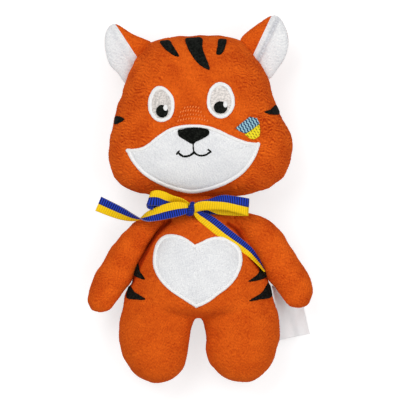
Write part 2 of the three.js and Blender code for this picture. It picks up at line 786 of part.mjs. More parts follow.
function addNose() {
  const outline = scaled(noseOutlineShares, muzzleCentreX, noseCentreY, noseHalfWidth, noseHalfHeight);
  const loop = smoothLoop(outline, smallSides);
  const centre = middleOf(loop);
  const shape = patch(headSurface, loop, centre, onPatchLift, stitchThickness, smallFillShares);
  addPiece('nose', shape, 'black_thread');
}

// Places on the curve to each side of the mouth, as shares of its reach and its drop
const mouthCurveShares = [[0, 0], [0.35, -0.5], [0.75, -0.4], [1, 0]];

// The mouth is one line of thread: a stem under the nose and a curve to each side
function addMouth() {
  const top = noseCentreY - noseHalfHeight - seamGap * 2;
  const low = top - mouthDrop;
  const lift = onPatchLift + stitchThickness / 2;
  const curve = (side) => mouthCurveShares.map(([across, down]) => {
    const x = muzzleCentreX + side * across * mouthReach;
    return onSurface(headSurface, x, low + down * mouthDrop, lift);
  });
  const flat = (points) => points.map(() => outAxis.clone().cross(acrossAxis));
  const arms = [-1, 1].map((side) => {
    const points = curve(side);
    return solidOf(facingOut(strip(points, flat(points), mouthThread, stitchThickness, smallSides / 2)));
  });
  const stemPoints = [top, (top + low) / 2, low - mouthThread / 2]
    .map((y) => onSurface(headSurface, muzzleCentreX, y, lift));
  const stemAcross = stemPoints.map(() => acrossAxis.clone());
  const stem = solidOf(facingOut(strip(stemPoints, stemAcross, mouthThread, stitchThickness, smallSides / 4)));
  addPiece('mouth', stem.add(arms[0]).add(arms[1]), 'black_thread');
}

function addEye(name, x, y, pupilX, pupilY, highlightX, highlightY) {
  const highlight = ovalLoop(highlightX, highlightY, highlightHalfWidth, highlightHalfHeight, 0);
  const stack = [
    [`${name}_white`, ovalLoop(x, y, eyeHalfWidth, eyeHalfHeight, eyeTaper), 'white_thread', 0],
    [`${name}_pupil`, ovalLoop(pupilX, pupilY, pupilRadius, pupilRadius, 0), 'black_thread', 1],
    [`${name}_highlight`, highlight, 'white_thread', 2],
  ];
  for (const [pieceName, loop, finish, level] of stack) {
    const lift = patchLift + level * (stitchThickness + seamGap);
    const shape = patch(headSurface, loop, middleOf(loop), lift, stitchThickness, smallFillShares);
    addPiece(pieceName, shape, finish);
  }
}

const rightEyeX = -25.5;
const rightEyeY = 64;
const leftEyeX = 13.9;
const leftEyeY = 66.7;
const pupilDrop = 5.2;
const highlightShiftX = 2.4;
const highlightShiftY = 2.9;

function addEyes() {
  for (const [name, x, y] of [['right_eye', rightEyeX, rightEyeY], ['left_eye', leftEyeX, leftEyeY]]) {
    const pupilY = y - pupilDrop;
    addEye(name, x, y, x, pupilY, x + highlightShiftX, pupilY + highlightShiftY);
  }
}

const cheekSplitSlope = 1.5;

// The cheek patch is stitched in two colours that meet along a slanting line
function addCheekPatch() {
  const outline = scaled(cheekOutlineShares, cheekCentreX, cheekCentreY, cheekHalfWidth, cheekHalfHeight);
  const loop = smoothLoop(outline, smallSides);
  const whole = solidOf(facingOut(
    patch(headSurface, loop, middleOf(loop), patchLift, stitchThickness, smallFillShares),
  ));
  const split = new THREE.Vector3(-1, cheekSplitSlope, 0).normalize();
  const point = new THREE.Vector3(cheekCentreX, cheekCentreY, headSeamHeight);
  const gap = split.clone().multiplyScalar(seamGap / 2);
  const upper = halfSpace(point.clone().add(gap), split);
  const lower = halfSpace(point.clone().sub(gap), split.clone().negate());
  addPiece('cheek_patch_upper', whole.intersect(upper), 'blue_thread');
  addPiece('cheek_patch_lower', whole.intersect(lower), 'yellow_thread');
}

function addStripe(name, surface, points) {
  const loop = smoothLoop(points, smallSides);
  const shape = patch(surface, loop, middleOf(loop), patchLift, stitchThickness, smallFillShares);
  addPiece(name, shape, 'black_thread');
}

function addStripes() {
  for (const [place, shares] of Object.entries(foreheadStripeShares)) {
    const points = scaled(shares, headCentreX, headCentreY, headHalfWidth, headHalfHeight);
    addStripe(`forehead_stripe_${place}`, headSurface, points);
  }
  for (const [side, shares] of Object.entries(headSideStripeShares)) {
    const points = scaled(shares, headCentreX, headCentreY, headHalfWidth, headHalfHeight);
    addStripe(`head_side_stripe_${side}`, headSurface, points);
  }
  for (const [place, shares] of Object.entries(bodyStripeShares)) {
    addStripe(`body_stripe_${place}`, bodySurface, scaled(shares, 0, bodyTopY, bodyHalfWidth, bodyLength));
  }
}

function addHeart() {
  const centre = [heartCentreX, heartCentreY];
  const outline = scaled(heartOutlineShares, heartCentreX, heartCentreY, heartHalfWidth, heartHalfHeight);
  const loop = smoothLoop(outline, patchSides);
  addBorderedPatch('heart', bodySurface, loop, centre);
}

// Ribbon

function addNeckRibbon() {
  const outer = bodyForm(neighbourGap + ribbonThickness);
  const inner = bodyForm(neighbourGap);
  const low = new THREE.Vector3(-cutMargin / 2, ribbonTopY - ribbonWidth, -cutMargin / 2);
  const high = new THREE.Vector3(cutMargin / 2, ribbonTopY, cutMargin / 2);
  addPiece('neck_ribbon', outer.subtract(inner).intersect(blockFrom(low, high)), 'ribbon');
}

const knotBackZ = bodySurface(knotX, knotY - knotHeight / 2) + neighbourGap * 2 + ribbonThickness;

// Places down the knot, and how far it is pinched in there
const knotRingShares = [[-0.5, 0.86], [-0.42, 1], [0.42, 1], [0.5, 0.86]];

function addKnot() {
  const loop = Array.from({ length: smallSides }, (_, j) => {
    const turn = (2 * Math.PI * j) / smallSides;
    return [
      (signedPower(Math.cos(turn), cordPower) * knotWidth) / 2,
      (signedPower(Math.sin(turn), cordPower) * knotDepth) / 2,
    ];
  });
  const rings = knotRingShares.map(([place, pinch]) => loop.map(([across, out]) => new THREE.Vector3(
    knotX + across * pinch,
    knotY + place * knotHeight,
    knotBackZ + knotDepth / 2 + out * pinch,
  )));
  addPiece('bow_knot', skinRings(rings), 'ribbon');
}

// How far out through the knot the loops and the tails leave it
const loopRootShare = 0.66;
const tailRootShare = 0.3;

// How far a loop's two layers stand apart, how soon they do and how far its end bulges
const loopUnderShare = -0.35;
const loopOverShare = 0.45;
const loopOpening = 3;
const loopBulge = 0.4;

// A loop of ribbon that leaves the knot, turns back at its end and returns above itself
function addBowLoop(name, side, shares) {
  const out = knotBackZ + knotDepth * loopRootShare;
  const start = new THREE.Vector3(knotX + side * (knotWidth / 2 + neighbourGap), knotY, out);
  const place = ([across, up, out], level) => new THREE.Vector3(
    start.x + (across * bowSpan) / 2,
    start.y + up * ribbonWidth,
    start.z + out * bowDepth + level * bowDepth * Math.min(1, Math.abs(across) * loopOpening),
  );
  const under = shares.map((row) => place(row, loopUnderShare));
  const over = shares.map((row) => place(row, loopOverShare)).reverse();
  const end = under[under.length - 1].clone().add(over[0]).multiplyScalar(0.5);
  end.x += side * bowDepth * loopBulge;
  const path = [...under, end, ...over];
  const across = path.map(() => new THREE.Vector3(0, 1, 0));
  addPiece(name, strip(path, across, ribbonWidth, ribbonThickness, stripSteps * 2), 'ribbon');
}

// Ribbon tails lie over what is under them
const tailLift = patchLift + patchThickness + ribbonThickness + neighbourGap * 2;

function addTails() {
  const rootHeight = knotBackZ + knotDepth * tailRootShare;
  const left = leftTailShares.map(([across, up], i) => {
    const x = knotX + across * tailLength;
    const y = knotY + up * tailLength;
    return new THREE.Vector3(x, y, i === 0 ? rootHeight : bodySurface(x, y) + tailLift);
  });
  const run = left[left.length - 2].clone().sub(left[1]);
  const slant = left.map((p) => outwardNormal(bodySurface, p.x, p.y).cross(run).normalize());
  addPiece('ribbon_tail_left', strip(left, slant, ribbonWidth, ribbonThickness, stripSteps), 'ribbon');
  const right = rightTailShares.map(([across, up, out]) => new THREE.Vector3(
    knotX + across * tailLength,
    knotY + up * tailLength,
    rootHeight + out * knotDepth,
  ));
  const turning = rightTailTurnShares.map((share) => {
    const angle = share * Math.PI;
    return new THREE.Vector3(0, Math.cos(angle), Math.sin(angle));
  });
  addPiece('ribbon_tail_right', strip(right, turning, ribbonWidth, ribbonThickness, stripSteps * 2), 'ribbon');
}

// Care label: a bare tab in the side seam that droops to the surface
const labelSlope = 0.22;
const labelDown = new THREE.Vector3(labelSlope, -1, 0).normalize();
const labelOut = new THREE.Vector3(-labelDown.y, labelDown.x, 0);

// Each row is a place out along the label and how far it has drooped there
const labelDroopShares = [[0, 0], [0.12, 0.32], [0.25, 0.58], [0.4, 0.78], [0.6, 0.94], [0.8, 0.99], [1, 1]];

function addLabel() {
  const top = new THREE.Vector3(labelTopX, labelTopY, bodySeamHeight);
  const drop = bodySeamHeight - restHeight - labelThickness * 2;
  const rings = labelDroopShares.map(([share, fallen]) => {
    const fall = drop * fallen;
    const corner = (along, rise) => top.clone()
      .addScaledVector(labelDown, along)
      .addScaledVector(labelOut, share * labelReach)
      .addScaledVector(outAxis, rise - fall);
    return [
      corner(labelLength, 0),
      corner(labelLength, labelThickness),
      corner(0, labelThickness),
      corner(0, 0),
    ];
  });
  addPiece('care_label', skinRings(rings), 'label_satin');
}

addHead();
addBody();
addArms();
addLegs();
addEars();
addMuzzle();
addNose();
addMouth();
addEyes();
addCheekPatch();
addStripes();
addHeart();
addNeckRibbon();
addKnot();
addBowLoop('bow_loop_left', 1, leftLoopShares);
addBowLoop('bow_loop_right', -1, rightLoopShares);
addTails();
addLabel();

export default tiger;
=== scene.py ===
"""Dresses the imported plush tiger: stuffed plush forms, embroidery, a ribbon bow and a satin label.

Shapes are worked out in millimetres and turned to metres where they become meshes.
X is towards the toy's own left, Y towards the top of its head and Z out of its front.
"""

import math

import bmesh
import bpy
import numpy as np
from bpy.props import FloatProperty, FloatVectorProperty, PointerProperty
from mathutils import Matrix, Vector


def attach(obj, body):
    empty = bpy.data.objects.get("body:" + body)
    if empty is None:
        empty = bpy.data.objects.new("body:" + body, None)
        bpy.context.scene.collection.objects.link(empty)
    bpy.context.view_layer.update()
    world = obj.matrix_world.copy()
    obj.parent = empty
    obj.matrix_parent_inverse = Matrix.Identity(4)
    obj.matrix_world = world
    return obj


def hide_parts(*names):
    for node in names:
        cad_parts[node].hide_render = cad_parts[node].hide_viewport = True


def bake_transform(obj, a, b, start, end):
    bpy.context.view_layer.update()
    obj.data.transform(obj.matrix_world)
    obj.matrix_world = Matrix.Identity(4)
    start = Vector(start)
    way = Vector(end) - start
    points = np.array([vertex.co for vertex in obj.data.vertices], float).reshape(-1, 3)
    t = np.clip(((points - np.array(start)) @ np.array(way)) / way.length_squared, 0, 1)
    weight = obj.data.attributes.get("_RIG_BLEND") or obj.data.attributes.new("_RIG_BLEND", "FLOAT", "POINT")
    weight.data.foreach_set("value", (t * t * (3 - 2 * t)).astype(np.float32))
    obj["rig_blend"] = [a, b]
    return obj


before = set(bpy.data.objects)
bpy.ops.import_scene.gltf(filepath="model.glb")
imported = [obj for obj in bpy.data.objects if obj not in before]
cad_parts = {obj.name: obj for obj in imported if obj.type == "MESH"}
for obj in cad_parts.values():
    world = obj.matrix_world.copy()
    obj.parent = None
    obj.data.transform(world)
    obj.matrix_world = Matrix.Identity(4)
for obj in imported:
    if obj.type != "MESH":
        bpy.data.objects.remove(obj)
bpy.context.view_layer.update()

bl_info = {
    "name": "Plush tiger",
    "version": (1, 0, 0),
    "blender": (4, 5, 0),
    "location": "3D View > Sidebar > Tiger",
    "description": "Dresses a packed plush tiger in plush, embroidery, ribbon and satin",
    "category": "Add Mesh",
}

MM = 0.001  # a millimetre in Blender's metres
PIXEL = 0.67  # millimetres that a pixel of the photograph spans
PHOTO_SIDE = 400  # pixels along each side of the photograph
RIBBON_HALF = 5.2  # half the ribbon's width in millimetres


def tone(red, green, blue):
    """A colour as it shows on a screen, 0 to 255, as the linear values that Blender works in."""
    shares = [value / 255 for value in (red, green, blue)]
    return tuple(s / 12.92 if s <= 0.04045 else ((s + 0.055) / 1.055) ** 2.4 for s in shares)


def length_property(name, description, millimetres):
    """A size that is written in millimetres and shown as a length."""
    return FloatProperty(name=name, description=description, default=millimetres * MM, unit="LENGTH", precision=5)


def colour_property(name, description, *screen):
    """A colour that is written as it shows on a screen, 0 to 255."""
    return FloatVectorProperty(
        name=name, description=description, subtype="COLOR", size=3, min=0, max=1, default=tone(*screen)
    )


class TigerSizes(bpy.types.PropertyGroup):
    """Sizes of the cloth, thread and ribbon."""

    pile: length_property("Pile", "How far the brushed pile stands up and lies down", 0.2)
    seam_depth: length_property("Seam depth", "How far the seams pull in", 0.9)
    seam_width: length_property("Seam width", "How far from a seam the cloth dips", 1.3)
    pucker: length_property("Pucker", "How deep the gathers beside a seam are", 0.42)
    thread: length_property("Thread", "Thickness of an embroidery thread", 0.46)
    border: length_property("Border", "Width of the satin border round a patch", 2.24)
    ribbon: length_property("Ribbon", "Width of the ribbon", 2 * RIBBON_HALF)
    rib: length_property("Rib", "Spacing of the ribbon's ribs", 1.5)


class TigerColours(bpy.types.PropertyGroup):
    """Colours of the finishes."""

    # Raised and flat tones of each plush: partly the pile's own mottled tone, partly painted light on raised pile and
    # painted shade on flattened pile
    orange_light: colour_property("Orange, raised", "Tips of the orange pile", 243, 110, 26)
    orange_dark: colour_property("Orange, flat", "Roots of the orange pile", 174, 50, 5)
    white_light: colour_property("White, raised", "Tips of the white pile", 249, 249, 248)
    white_dark: colour_property("White, flat", "Roots of the white pile", 211, 212, 216)
    white_thread: colour_property("White thread", "Borders and rims of the eyes", 252, 251, 250)
    eye_thread: colour_property("Eye thread", "Filling of the eyes", 247, 239, 233)
    black_thread: colour_property("Black thread", "Nose, mouth, pupils and stripes", 37, 39, 35)
    tan_thread: colour_property("Tan thread", "Short stitches above the nose", 255, 142, 66)
    pale_blue_thread: colour_property("Pale blue thread", "Upper part of the cheek patch", 172, 220, 234)
    deep_blue_thread: colour_property("Deep blue thread", "Darker stitches of the cheek patch", 8, 62, 106)
    yellow_thread: colour_property("Yellow thread", "Lower part of the cheek patch", 250, 232, 36)
    gap_thread: colour_property("Yellow gaps", "Lines between the yellow stitches", 150, 104, 10)
    ribbon_blue: colour_property("Ribbon blue", "Blue half of the ribbon", 28, 64, 198)
    ribbon_yellow: colour_property("Ribbon yellow", "Yellow half of the ribbon", 255, 208, 8)
    label: colour_property("Label", "Satin of the care label", 248, 248, 249)


# ---------------------------------------------------------------- curves, fields and grids

SPAN_STEPS = 24  # points worked out between two that a closed curve is given by
CURVE_STEPS = 600  # points that an open curve's length is measured through


def seen(points):
    """Places in the photograph in millimetres: their distance from its middle times a pixel's span, with Y up."""
    return (np.asarray(points, float) - (PHOTO_SIDE - 1) / 2) * (PIXEL, -PIXEL)


def over(px, py, z):
    """A place in the photograph and its height, in millimetres."""
    return (*seen((px, py)), z)


def cubic(a, b, c, d, t):
    """The cubic from b at 0 to c at 1 that leaves b by half the step from a to c, and c by half that from b to d."""
    return 0.5 * (2 * b + (c - a) * t + (2 * a - 5 * b + 4 * c - d) * t**2 + (3 * b - a - 3 * c + d) * t**3)


def run_of(line):
    """How far along a line each of its points lies: the steps before it, added up."""
    return np.concatenate([[0], np.cumsum(np.linalg.norm(np.diff(line, axis=0), axis=1))])


def unit(vectors):
    """Each vector over its own length."""
    return vectors / np.linalg.norm(vectors, axis=-1, keepdims=True)


def square_to(steps):
    """Each flat step turned a quarter to its right and made one long."""
    return unit(np.stack([steps[:, 1], -steps[:, 0]], 1))


def closed_curve(points, count):
    """Points spread evenly along a smooth closed curve of cubics through the given ones."""
    b = np.asarray(points, float)
    around = np.roll(b, 1, 0), b, np.roll(b, -1, 0), np.roll(b, -2, 0)
    t = np.linspace(0, 1, SPAN_STEPS, endpoint=False)[None, :, None]
    fine = cubic(*(side[:, None, :] for side in around), t)
    fine = fine.reshape(-1, fine.shape[-1])
    fine = np.vstack([fine, fine[:1]])
    run = run_of(fine)
    places = np.linspace(0, run[-1], count, endpoint=False)
    return np.stack([np.interp(places, run, column) for column in fine.T], 1)


def open_curve(rows, places):
    """Values at places along rows of numbers, 0 at the first and 1 at the last, by the cubic between two rows."""
    rows = np.asarray(rows, float)
    padded = np.vstack([2 * rows[0] - rows[1], rows, 2 * rows[-1] - rows[-2]])
    at = np.clip(np.asarray(places) * (len(rows) - 1), 0, len(rows) - 1 - 1e-9)
    i = at.astype(int)
    return cubic(*(padded[i + k] for k in range(4)), (at - i)[:, None])


def even_places(rows, count):
    """Places from 0 to 1 that are spread evenly by length along an open curve, and that length."""
    dense = np.linspace(0, 1, CURVE_STEPS)
    run = run_of(open_curve(rows, dense))
    return np.interp(np.linspace(0, run[-1], count), run, dense), run[-1]


def waves(points, lengths, count, seed, along=None, spread=1.0):
    """A wavy field near -1 to 1: the sum of count plane waves.

    Each has a length between the two given, its own start, and a direction that is random, or within spread of along.
    """
    chance = np.random.default_rng(seed)
    directions = chance.normal(size=(count, 3))
    if along is not None:
        directions = np.asarray(along, float) + spread * directions
    numbers = 2 * math.pi / chance.uniform(*lengths, count)
    starts = chance.uniform(0, 2 * math.pi, count)
    return np.cos(points @ (unit(directions) * numbers[:, None]).T + starts).sum(1) / math.sqrt(count)


def bell(value, width):
    """A bell curve: e to minus the square of the value over the width, so 1 where the value is 0."""
    return np.exp(-((value / width) ** 2))


def soft_step(value):
    """0 up to 0, 1 from 1 on, and between them three times the value's square less twice its cube."""
    t = np.clip(value, 0, 1)
    return t * t * (3 - 2 * t)


def grid_faces(rows, columns, wrap_columns=False, wrap_rows=False):
    """Four-sided faces of a grid of points, which may close on itself either way."""
    r = np.arange(rows if wrap_rows else rows - 1)[:, None]
    c = np.arange(columns if wrap_columns else columns - 1)[None, :]
    down = ((r + 1) % rows) * columns
    beside = (c + 1) % columns
    here = r * columns
    return np.stack([here + c, here + beside, down + beside, down + c], -1).reshape(-1, 4)


def capped_rings(rings):
    """Points and faces of rings skinned in order, each end closed by a fan to its own middle point."""
    rows, columns = rings.shape[:2]
    points = np.vstack([rings.reshape(-1, 3), rings[0].mean(0), rings[-1].mean(0)])
    ring = np.arange(columns)
    beside = (ring + 1) % columns
    last = (rows - 1) * columns
    first_pole = np.full(columns, rows * columns)
    start = np.stack([first_pole, beside, ring], 1)
    end = np.stack([first_pole + 1, last + ring, last + beside], 1)
    return points, [grid_faces(rows, columns, wrap_columns=True), start, end]


def slab(top, bottom):
    """Points and faces of the closed sheet between two grids of the same size."""
    rows, columns = top.shape[:2]
    count = rows * columns
    index = np.arange(count).reshape(rows, columns)
    edge = np.concatenate([index[0], index[1:, -1], index[-1, -2::-1], index[-2:0:-1, 0]])
    after = np.roll(edge, -1)
    walls = np.stack([after, edge, edge + count, after + count], 1)
    faces = grid_faces(rows, columns)
    points = np.vstack([top.reshape(-1, 3), bottom.reshape(-1, 3)])
    return points, [faces, faces[:, ::-1] + count, walls]


# ---------------------------------------------------------------- meshes


def add_mesh(name, points, faces, fix_normals=True):
    """A smooth-shaded object from points in millimetres and groups of faces, with its faces turned outwards."""
    mesh = bpy.data.meshes.new(name)
    mesh.from_pydata((np.asarray(points, float) * MM).tolist(), [], [f for group in faces for f in group.tolist()])
    if fix_normals:
        work = bmesh.new()
        work.from_mesh(mesh)
        bmesh.ops.recalc_face_normals(work, faces=work.faces)
        work.to_mesh(mesh)
        work.free()
    mesh.shade_smooth()
    obj = bpy.data.objects.new(name, mesh)
    bpy.context.scene.collection.objects.link(obj)
    return obj


def points_of(mesh, what="co"):
    """The mesh's points in millimetres, or their normals."""
    values = np.zeros(len(mesh.vertices) * 3, np.float32)
    mesh.vertices.foreach_get(what, values)
    values = values.reshape(-1, 3).astype(float)
    return values / MM if what == "co" else values


def move_points(mesh, points):
    """Puts the mesh's points at places in millimetres."""
    mesh.vertices.foreach_set("co", (points * MM).astype(np.float32).ravel())
    mesh.update()


def faces_of(mesh):
    """The mesh's faces as an array, for a mesh of four-sided faces alone."""
    corners = np.zeros(len(mesh.loops), int)
    mesh.loops.foreach_get("vertex_index", corners)
    return corners.reshape(-1, 4)


def add_attribute(obj, name, values):
    """Keeps one number for each point, for the material to read."""
    obj.data.attributes.new(name, "FLOAT", "POINT").data.foreach_set("value", values.astype(np.float32))


def joined(parts):
    """Points and groups of faces of several parts in one, each part starting with its own points and faces."""
    groups, total = [], 0
    for points, faces, *_ in parts:
        groups += [group + total for group in faces]
        total += len(points)
    return np.vstack([part[0] for part in parts]), groups


def bake_modifiers(obj):
    """Replaces the object's mesh by what its modifiers make of it."""
    shown = obj.evaluated_get(bpy.context.evaluated_depsgraph_get())
    mesh = bpy.data.meshes.new_from_object(shown)
    obj.modifiers.clear()
    obj.data = mesh
    return mesh


def add_modifier(obj, kind, **settings):
    """Adds a modifier with the settings given."""
    modifier = obj.modifiers.new(kind.title(), kind)
    for name, value in settings.items():
        setattr(modifier, name, value)
    return modifier


def finish_piece(obj, material, slot, *nodes, body=None, blend=None):
    """Gives a piece its material, says which CAD nodes it stands for and what it moves with; slot is not used."""
    obj.data.materials.clear()
    obj.data.materials.append(material)
    if nodes:
        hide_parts(*nodes)
    if blend:
        first, second, start, end = blend
        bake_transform(obj, first, second, start=tuple(v * MM for v in start), end=tuple(v * MM for v in end))
    else:
        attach(obj, body)
    return obj


# ---------------------------------------------------------------- stuffed forms

SWELL_FRAMES = 20  # frames that the cloth swells for
PRESSURE = 4  # of the stuffing on the cloth
BLOCK = 4000  # points that are carried at a time, to save memory
GATHERS = 6.5  # how far from a seam its gathers reach
FLOOR_GAP = 0.05  # how far the lowest pile stays above the floor
LIP = 0.8  # how far a part's rim turns inwards
ON_LINE = 1.2  # how near to a dividing line a part's rim is drawn onto it
PILE_ROWS, PILE_TUFTS = (1.4, 2.4), (0.9, 1.6)  # shortest and longest waves of the pile
PILE_BENDS, PILE_PATCHES, PILE_BRUSHED = (6, 15), (14, 40), (9, 26)  # and of what bends, fades and brushes it


def inflated(obj, voxel, cap):
    """Where its stuffing's pressure moves a coarse copy of a form: the copy's points and how far each one goes.

    No point goes further than cap.
    """
    copy = obj.copy()
    copy.data = obj.data.copy()
    bpy.context.scene.collection.objects.link(copy)
    add_modifier(copy, "REMESH", mode="VOXEL", voxel_size=voxel * MM)
    start = points_of(bake_modifiers(copy))
    cloth = copy.modifiers.new("Cloth", "CLOTH")
    cloth.settings.quality = 5
    cloth.settings.use_pressure = True
    cloth.settings.uniform_pressure_force = PRESSURE
    cloth.settings.effector_weights.gravity = 0
    for step in range(1, SWELL_FRAMES + 1):
        bpy.context.scene.frame_set(step)
    shown = copy.evaluated_get(bpy.context.evaluated_depsgraph_get())
    moves = points_of(shown.data) - start
    reach = np.linalg.norm(moves, axis=1)
    moves *= np.minimum(1, cap / np.maximum(reach, 1e-6))[:, None]
    bpy.data.objects.remove(copy)
    bpy.context.scene.frame_set(1)
    return start, moves


def carried(points, anchors, moves, reach):
    """Points moved with the anchors near them, each anchor counting by a bell curve of its distance."""
    out = points.copy()
    for first in range(0, len(points), BLOCK):
        block = points[first : first + BLOCK].astype(np.float32)
        gap = (block**2).sum(1)[:, None] + (anchors**2).sum(1)[None, :] - 2 * block @ anchors.T
        weight = np.exp(-gap / (2 * reach**2)) + 1e-12
        out[first : first + BLOCK] += (weight @ moves) / weight.sum(1)[:, None]
    return out


def stuffed(name, shells, voxel=1.0, smooth=6, coarse=4.5, cap=3.0):
    """One closed form from overlapping shells: joined, evened out, and swollen by the pressure of its stuffing."""
    obj = add_mesh(name, *joined(shells))
    add_modifier(obj, "REMESH", mode="VOXEL", voxel_size=voxel * MM)
    add_modifier(obj, "SMOOTH", factor=0.5, iterations=smooth)
    bake_modifiers(obj)
    swell = inflated(obj, coarse, cap)
    add_modifier(obj, "SUBSURF", levels=1, render_levels=1)
    mesh = bake_modifiers(obj)
    if swell:
        anchors, moves = (part.astype(np.float32) for part in swell)
        move_points(mesh, carried(points_of(mesh), anchors, moves, reach=coarse * 0.6))
    return obj


def tuck_seam(mesh, away, along, share=1.0):
    """Pulls the cloth in along a seam and gathers it on both sides.

    The groove and the gathers are bell curves of away, each point's distance from the seam, and along, a field that
    varies along the seam, scales the gathers. share scales both.
    """
    sizes = bpy.context.scene.tiger_sizes
    points, normals = points_of(mesh), points_of(mesh, "normal")
    groove = sizes.seam_depth / MM * bell(away, sizes.seam_width / MM)
    gathers = sizes.pucker / MM * bell(away, GATHERS) * np.clip(along, -1.2, 1.2)
    move_points(mesh, points - normals * (share * (groove + gathers))[:, None])


def brush_pile(obj, seed, along=(0.2, 1, 0.1), ripple=0.3, patchy=0.25, crease=0.0):
    """Raises and flattens the pile in wavy rows and small tufts, and keeps its height for the material to read.

    The rows are plane waves about 2 mm long near the direction along, bent by slower waves, and count by ripple.
    The tufts are shorter waves in every direction. Where crease is above 0 the pile lies that much lower, and the
    material paints it darker there as shade in the crease. Wide patches brushed lighter and darker are kept too, and
    count by patchy.
    """
    mesh = obj.data
    points, normals = points_of(mesh), points_of(mesh, "normal")
    bend = np.stack([waves(points, PILE_BENDS, 8, seed + 5 + k) for k in range(3)], 1)
    rows = waves(points + 0.9 * bend, PILE_ROWS, 30, seed, along, 0.35)
    tufts = waves(points, PILE_TUFTS, 60, seed + 1)
    patches = 0.5 + 0.5 * waves(points, PILE_PATCHES, 12, seed + 2)
    # crease dents the pile and lowers its kept height, which the material paints as shade in the crease
    height = np.clip(ripple * rows * (0.5 + 0.5 * patches) + 0.36 * tufts, -1.5, 1.5) - crease
    points += normals * (height * bpy.context.scene.tiger_sizes.pile / MM)[:, None]
    points[:, 2] = np.maximum(points[:, 2], FLOOR_GAP)
    move_points(mesh, points)
    add_attribute(obj, "pile", 0.5 + height / 3)
    add_attribute(obj, "brushed", np.clip(0.5 + patchy * waves(points, PILE_BRUSHED, 16, seed + 3), 0, 1))


def part_of(obj, name, inside, shift):
    """The faces of a form that a mask of its points marks, as a closed piece that keeps the whole form's normals.

    A face belongs to the part that most of its corners are in. The rim moves by shift onto the line between the
    parts, turns inwards and is closed by a fan to its middle.
    """
    mesh = obj.data
    points, normals, faces = points_of(mesh), points_of(mesh, "normal"), faces_of(mesh)
    chosen = faces[inside[faces].mean(1) > 0.5]
    used, compact = np.unique(chosen, return_inverse=True)
    quads = compact.reshape(-1, 4)
    edges = np.stack([quads, np.roll(quads, -1, 1)], -1).reshape(-1, 2)
    keys = edges[:, 0] * len(used) + edges[:, 1]
    twins = edges[:, 1] * len(used) + edges[:, 0]
    rim = edges[~np.isin(keys, twins)]
    points, normals, shift = points[used], normals[used], shift[used]
    around, place = np.unique(rim, return_inverse=True)
    points[around] += shift[around]
    turned = points[around] - LIP * normals[around]
    inner = place.reshape(-1, 2) + len(used)
    lip = np.stack([rim[:, 1], rim[:, 0], inner[:, 0], inner[:, 1]], 1)
    middle = len(used) + len(around)
    caps = np.stack([inner[:, 1], inner[:, 0], np.full(len(rim), middle)], 1)
    piece = add_mesh(name, np.vstack([points, turned, turned.mean(0)]), [quads, lip, caps], fix_normals=False)
    vectors = np.vstack([normals, normals[around], [0, 0, 1]])
    piece.data.normals_split_custom_set_from_vertices(vectors.tolist())
    for attribute in mesh.attributes:
        if attribute.name in ("pile", "brushed"):
            values = np.zeros(len(mesh.vertices), np.float32)
            attribute.data.foreach_get("value", values)
            values = values[used]
            add_attribute(piece, attribute.name, np.concatenate([values, values[around], [0.5]]))
    return piece


class Relief:
    """The front of a form as a map of heights over X and Y, for what is sewn onto it.

    Each cell holds the mean height of the form's front points in it, evened out with the cells round it. Past the
    form's rim the heights fall away cell by cell.
    """

    PAST_RIM = 6  # cells past the rim that get a height
    EVENED = 2  # times that the map is evened out

    def __init__(self, obj, step=0.8):
        points, normals = points_of(obj.data), points_of(obj.data, "normal")
        self.low, self.step = points.min(0)[:2] - 2 * step, step
        columns, rows = np.ceil((points.max(0)[:2] - self.low) / step).astype(int) + 2
        front = points[normals[:, 2] > 0.05]
        cell = np.rint((front[:, :2] - self.low) / step).astype(int) @ (1, columns)
        count = np.bincount(cell, minlength=rows * columns)
        total = np.bincount(cell, front[:, 2], minlength=rows * columns)
        height = (total / np.maximum(count, 1)).reshape(rows, columns)
        for _ in range(self.PAST_RIM):
            height = np.where(height > 0, height, self.around(height).max(0) - 1.5 * step)
        height = np.maximum(height, 0)
        for _ in range(self.EVENED):
            height = self.around(height).mean(0)
        self.height = height

    @staticmethod
    def around(values):
        """Each cell's own value and those of the eight cells round it."""
        padded = np.pad(values, 1, mode="edge")
        rows, columns = values.shape
        return np.stack([padded[i : i + rows, j : j + columns] for i in range(3) for j in range(3)])

    def at(self, x, y):
        """The height at each place, by a straight mix of the four cells round it."""
        u = np.clip((x - self.low[0]) / self.step, 0, self.height.shape[1] - 1.001)
        v = np.clip((y - self.low[1]) / self.step, 0, self.height.shape[0] - 1.001)
        i, j = u.astype(int), v.astype(int)
        s, t = u - i, v - j
        h = self.height
        near = h[j, i] * (1 - s) + h[j, i + 1] * s
        far = h[j + 1, i] * (1 - s) + h[j + 1, i + 1] * s
        return near * (1 - t) + far * t

    def lifted(self, x, y, lift):
        """Points that stand off the form by lift along its normal."""
        d = self.step
        slope_x = (self.at(x + d, y) - self.at(x - d, y)) / (2 * d)
        slope_y = (self.at(x, y + d) - self.at(x, y - d)) / (2 * d)
        normal = unit(np.stack([-slope_x, -slope_y, np.ones_like(slope_x)], -1))
        return np.stack([x, y, self.at(x, y)], -1) + normal * np.asarray(lift)[..., None]


reliefs = {}  # the maps of the head and the torso, kept when each is made


# ---------------------------------------------------------------- materials


class Value:
    """A node's output that takes Python arithmetic, each sign adding its Math node."""

    def __init__(self, maker, socket):
        self.maker, self.socket = maker, socket

    def _math(self, operation, *values):
        return self.maker.node("ShaderNodeMath", {"operation": operation}, dict(enumerate(values)))

    def __add__(self, other):
        return self._math("ADD", self, other)

    def __sub__(self, other):
        return self._math("SUBTRACT", self, other)

    def __rsub__(self, other):
        return self._math("SUBTRACT", other, self)

    def __mul__(self, other):
        return self._math("MULTIPLY", self, other)

    __radd__, __rmul__ = __add__, __mul__

    def larger(self, other):
        """The larger of the two."""
        return self._math("MAXIMUM", self, other)

    def clamped(self):
        """The value kept between 0 and 1."""
        return self._math("MINIMUM", self.larger(0.0), 1.0)


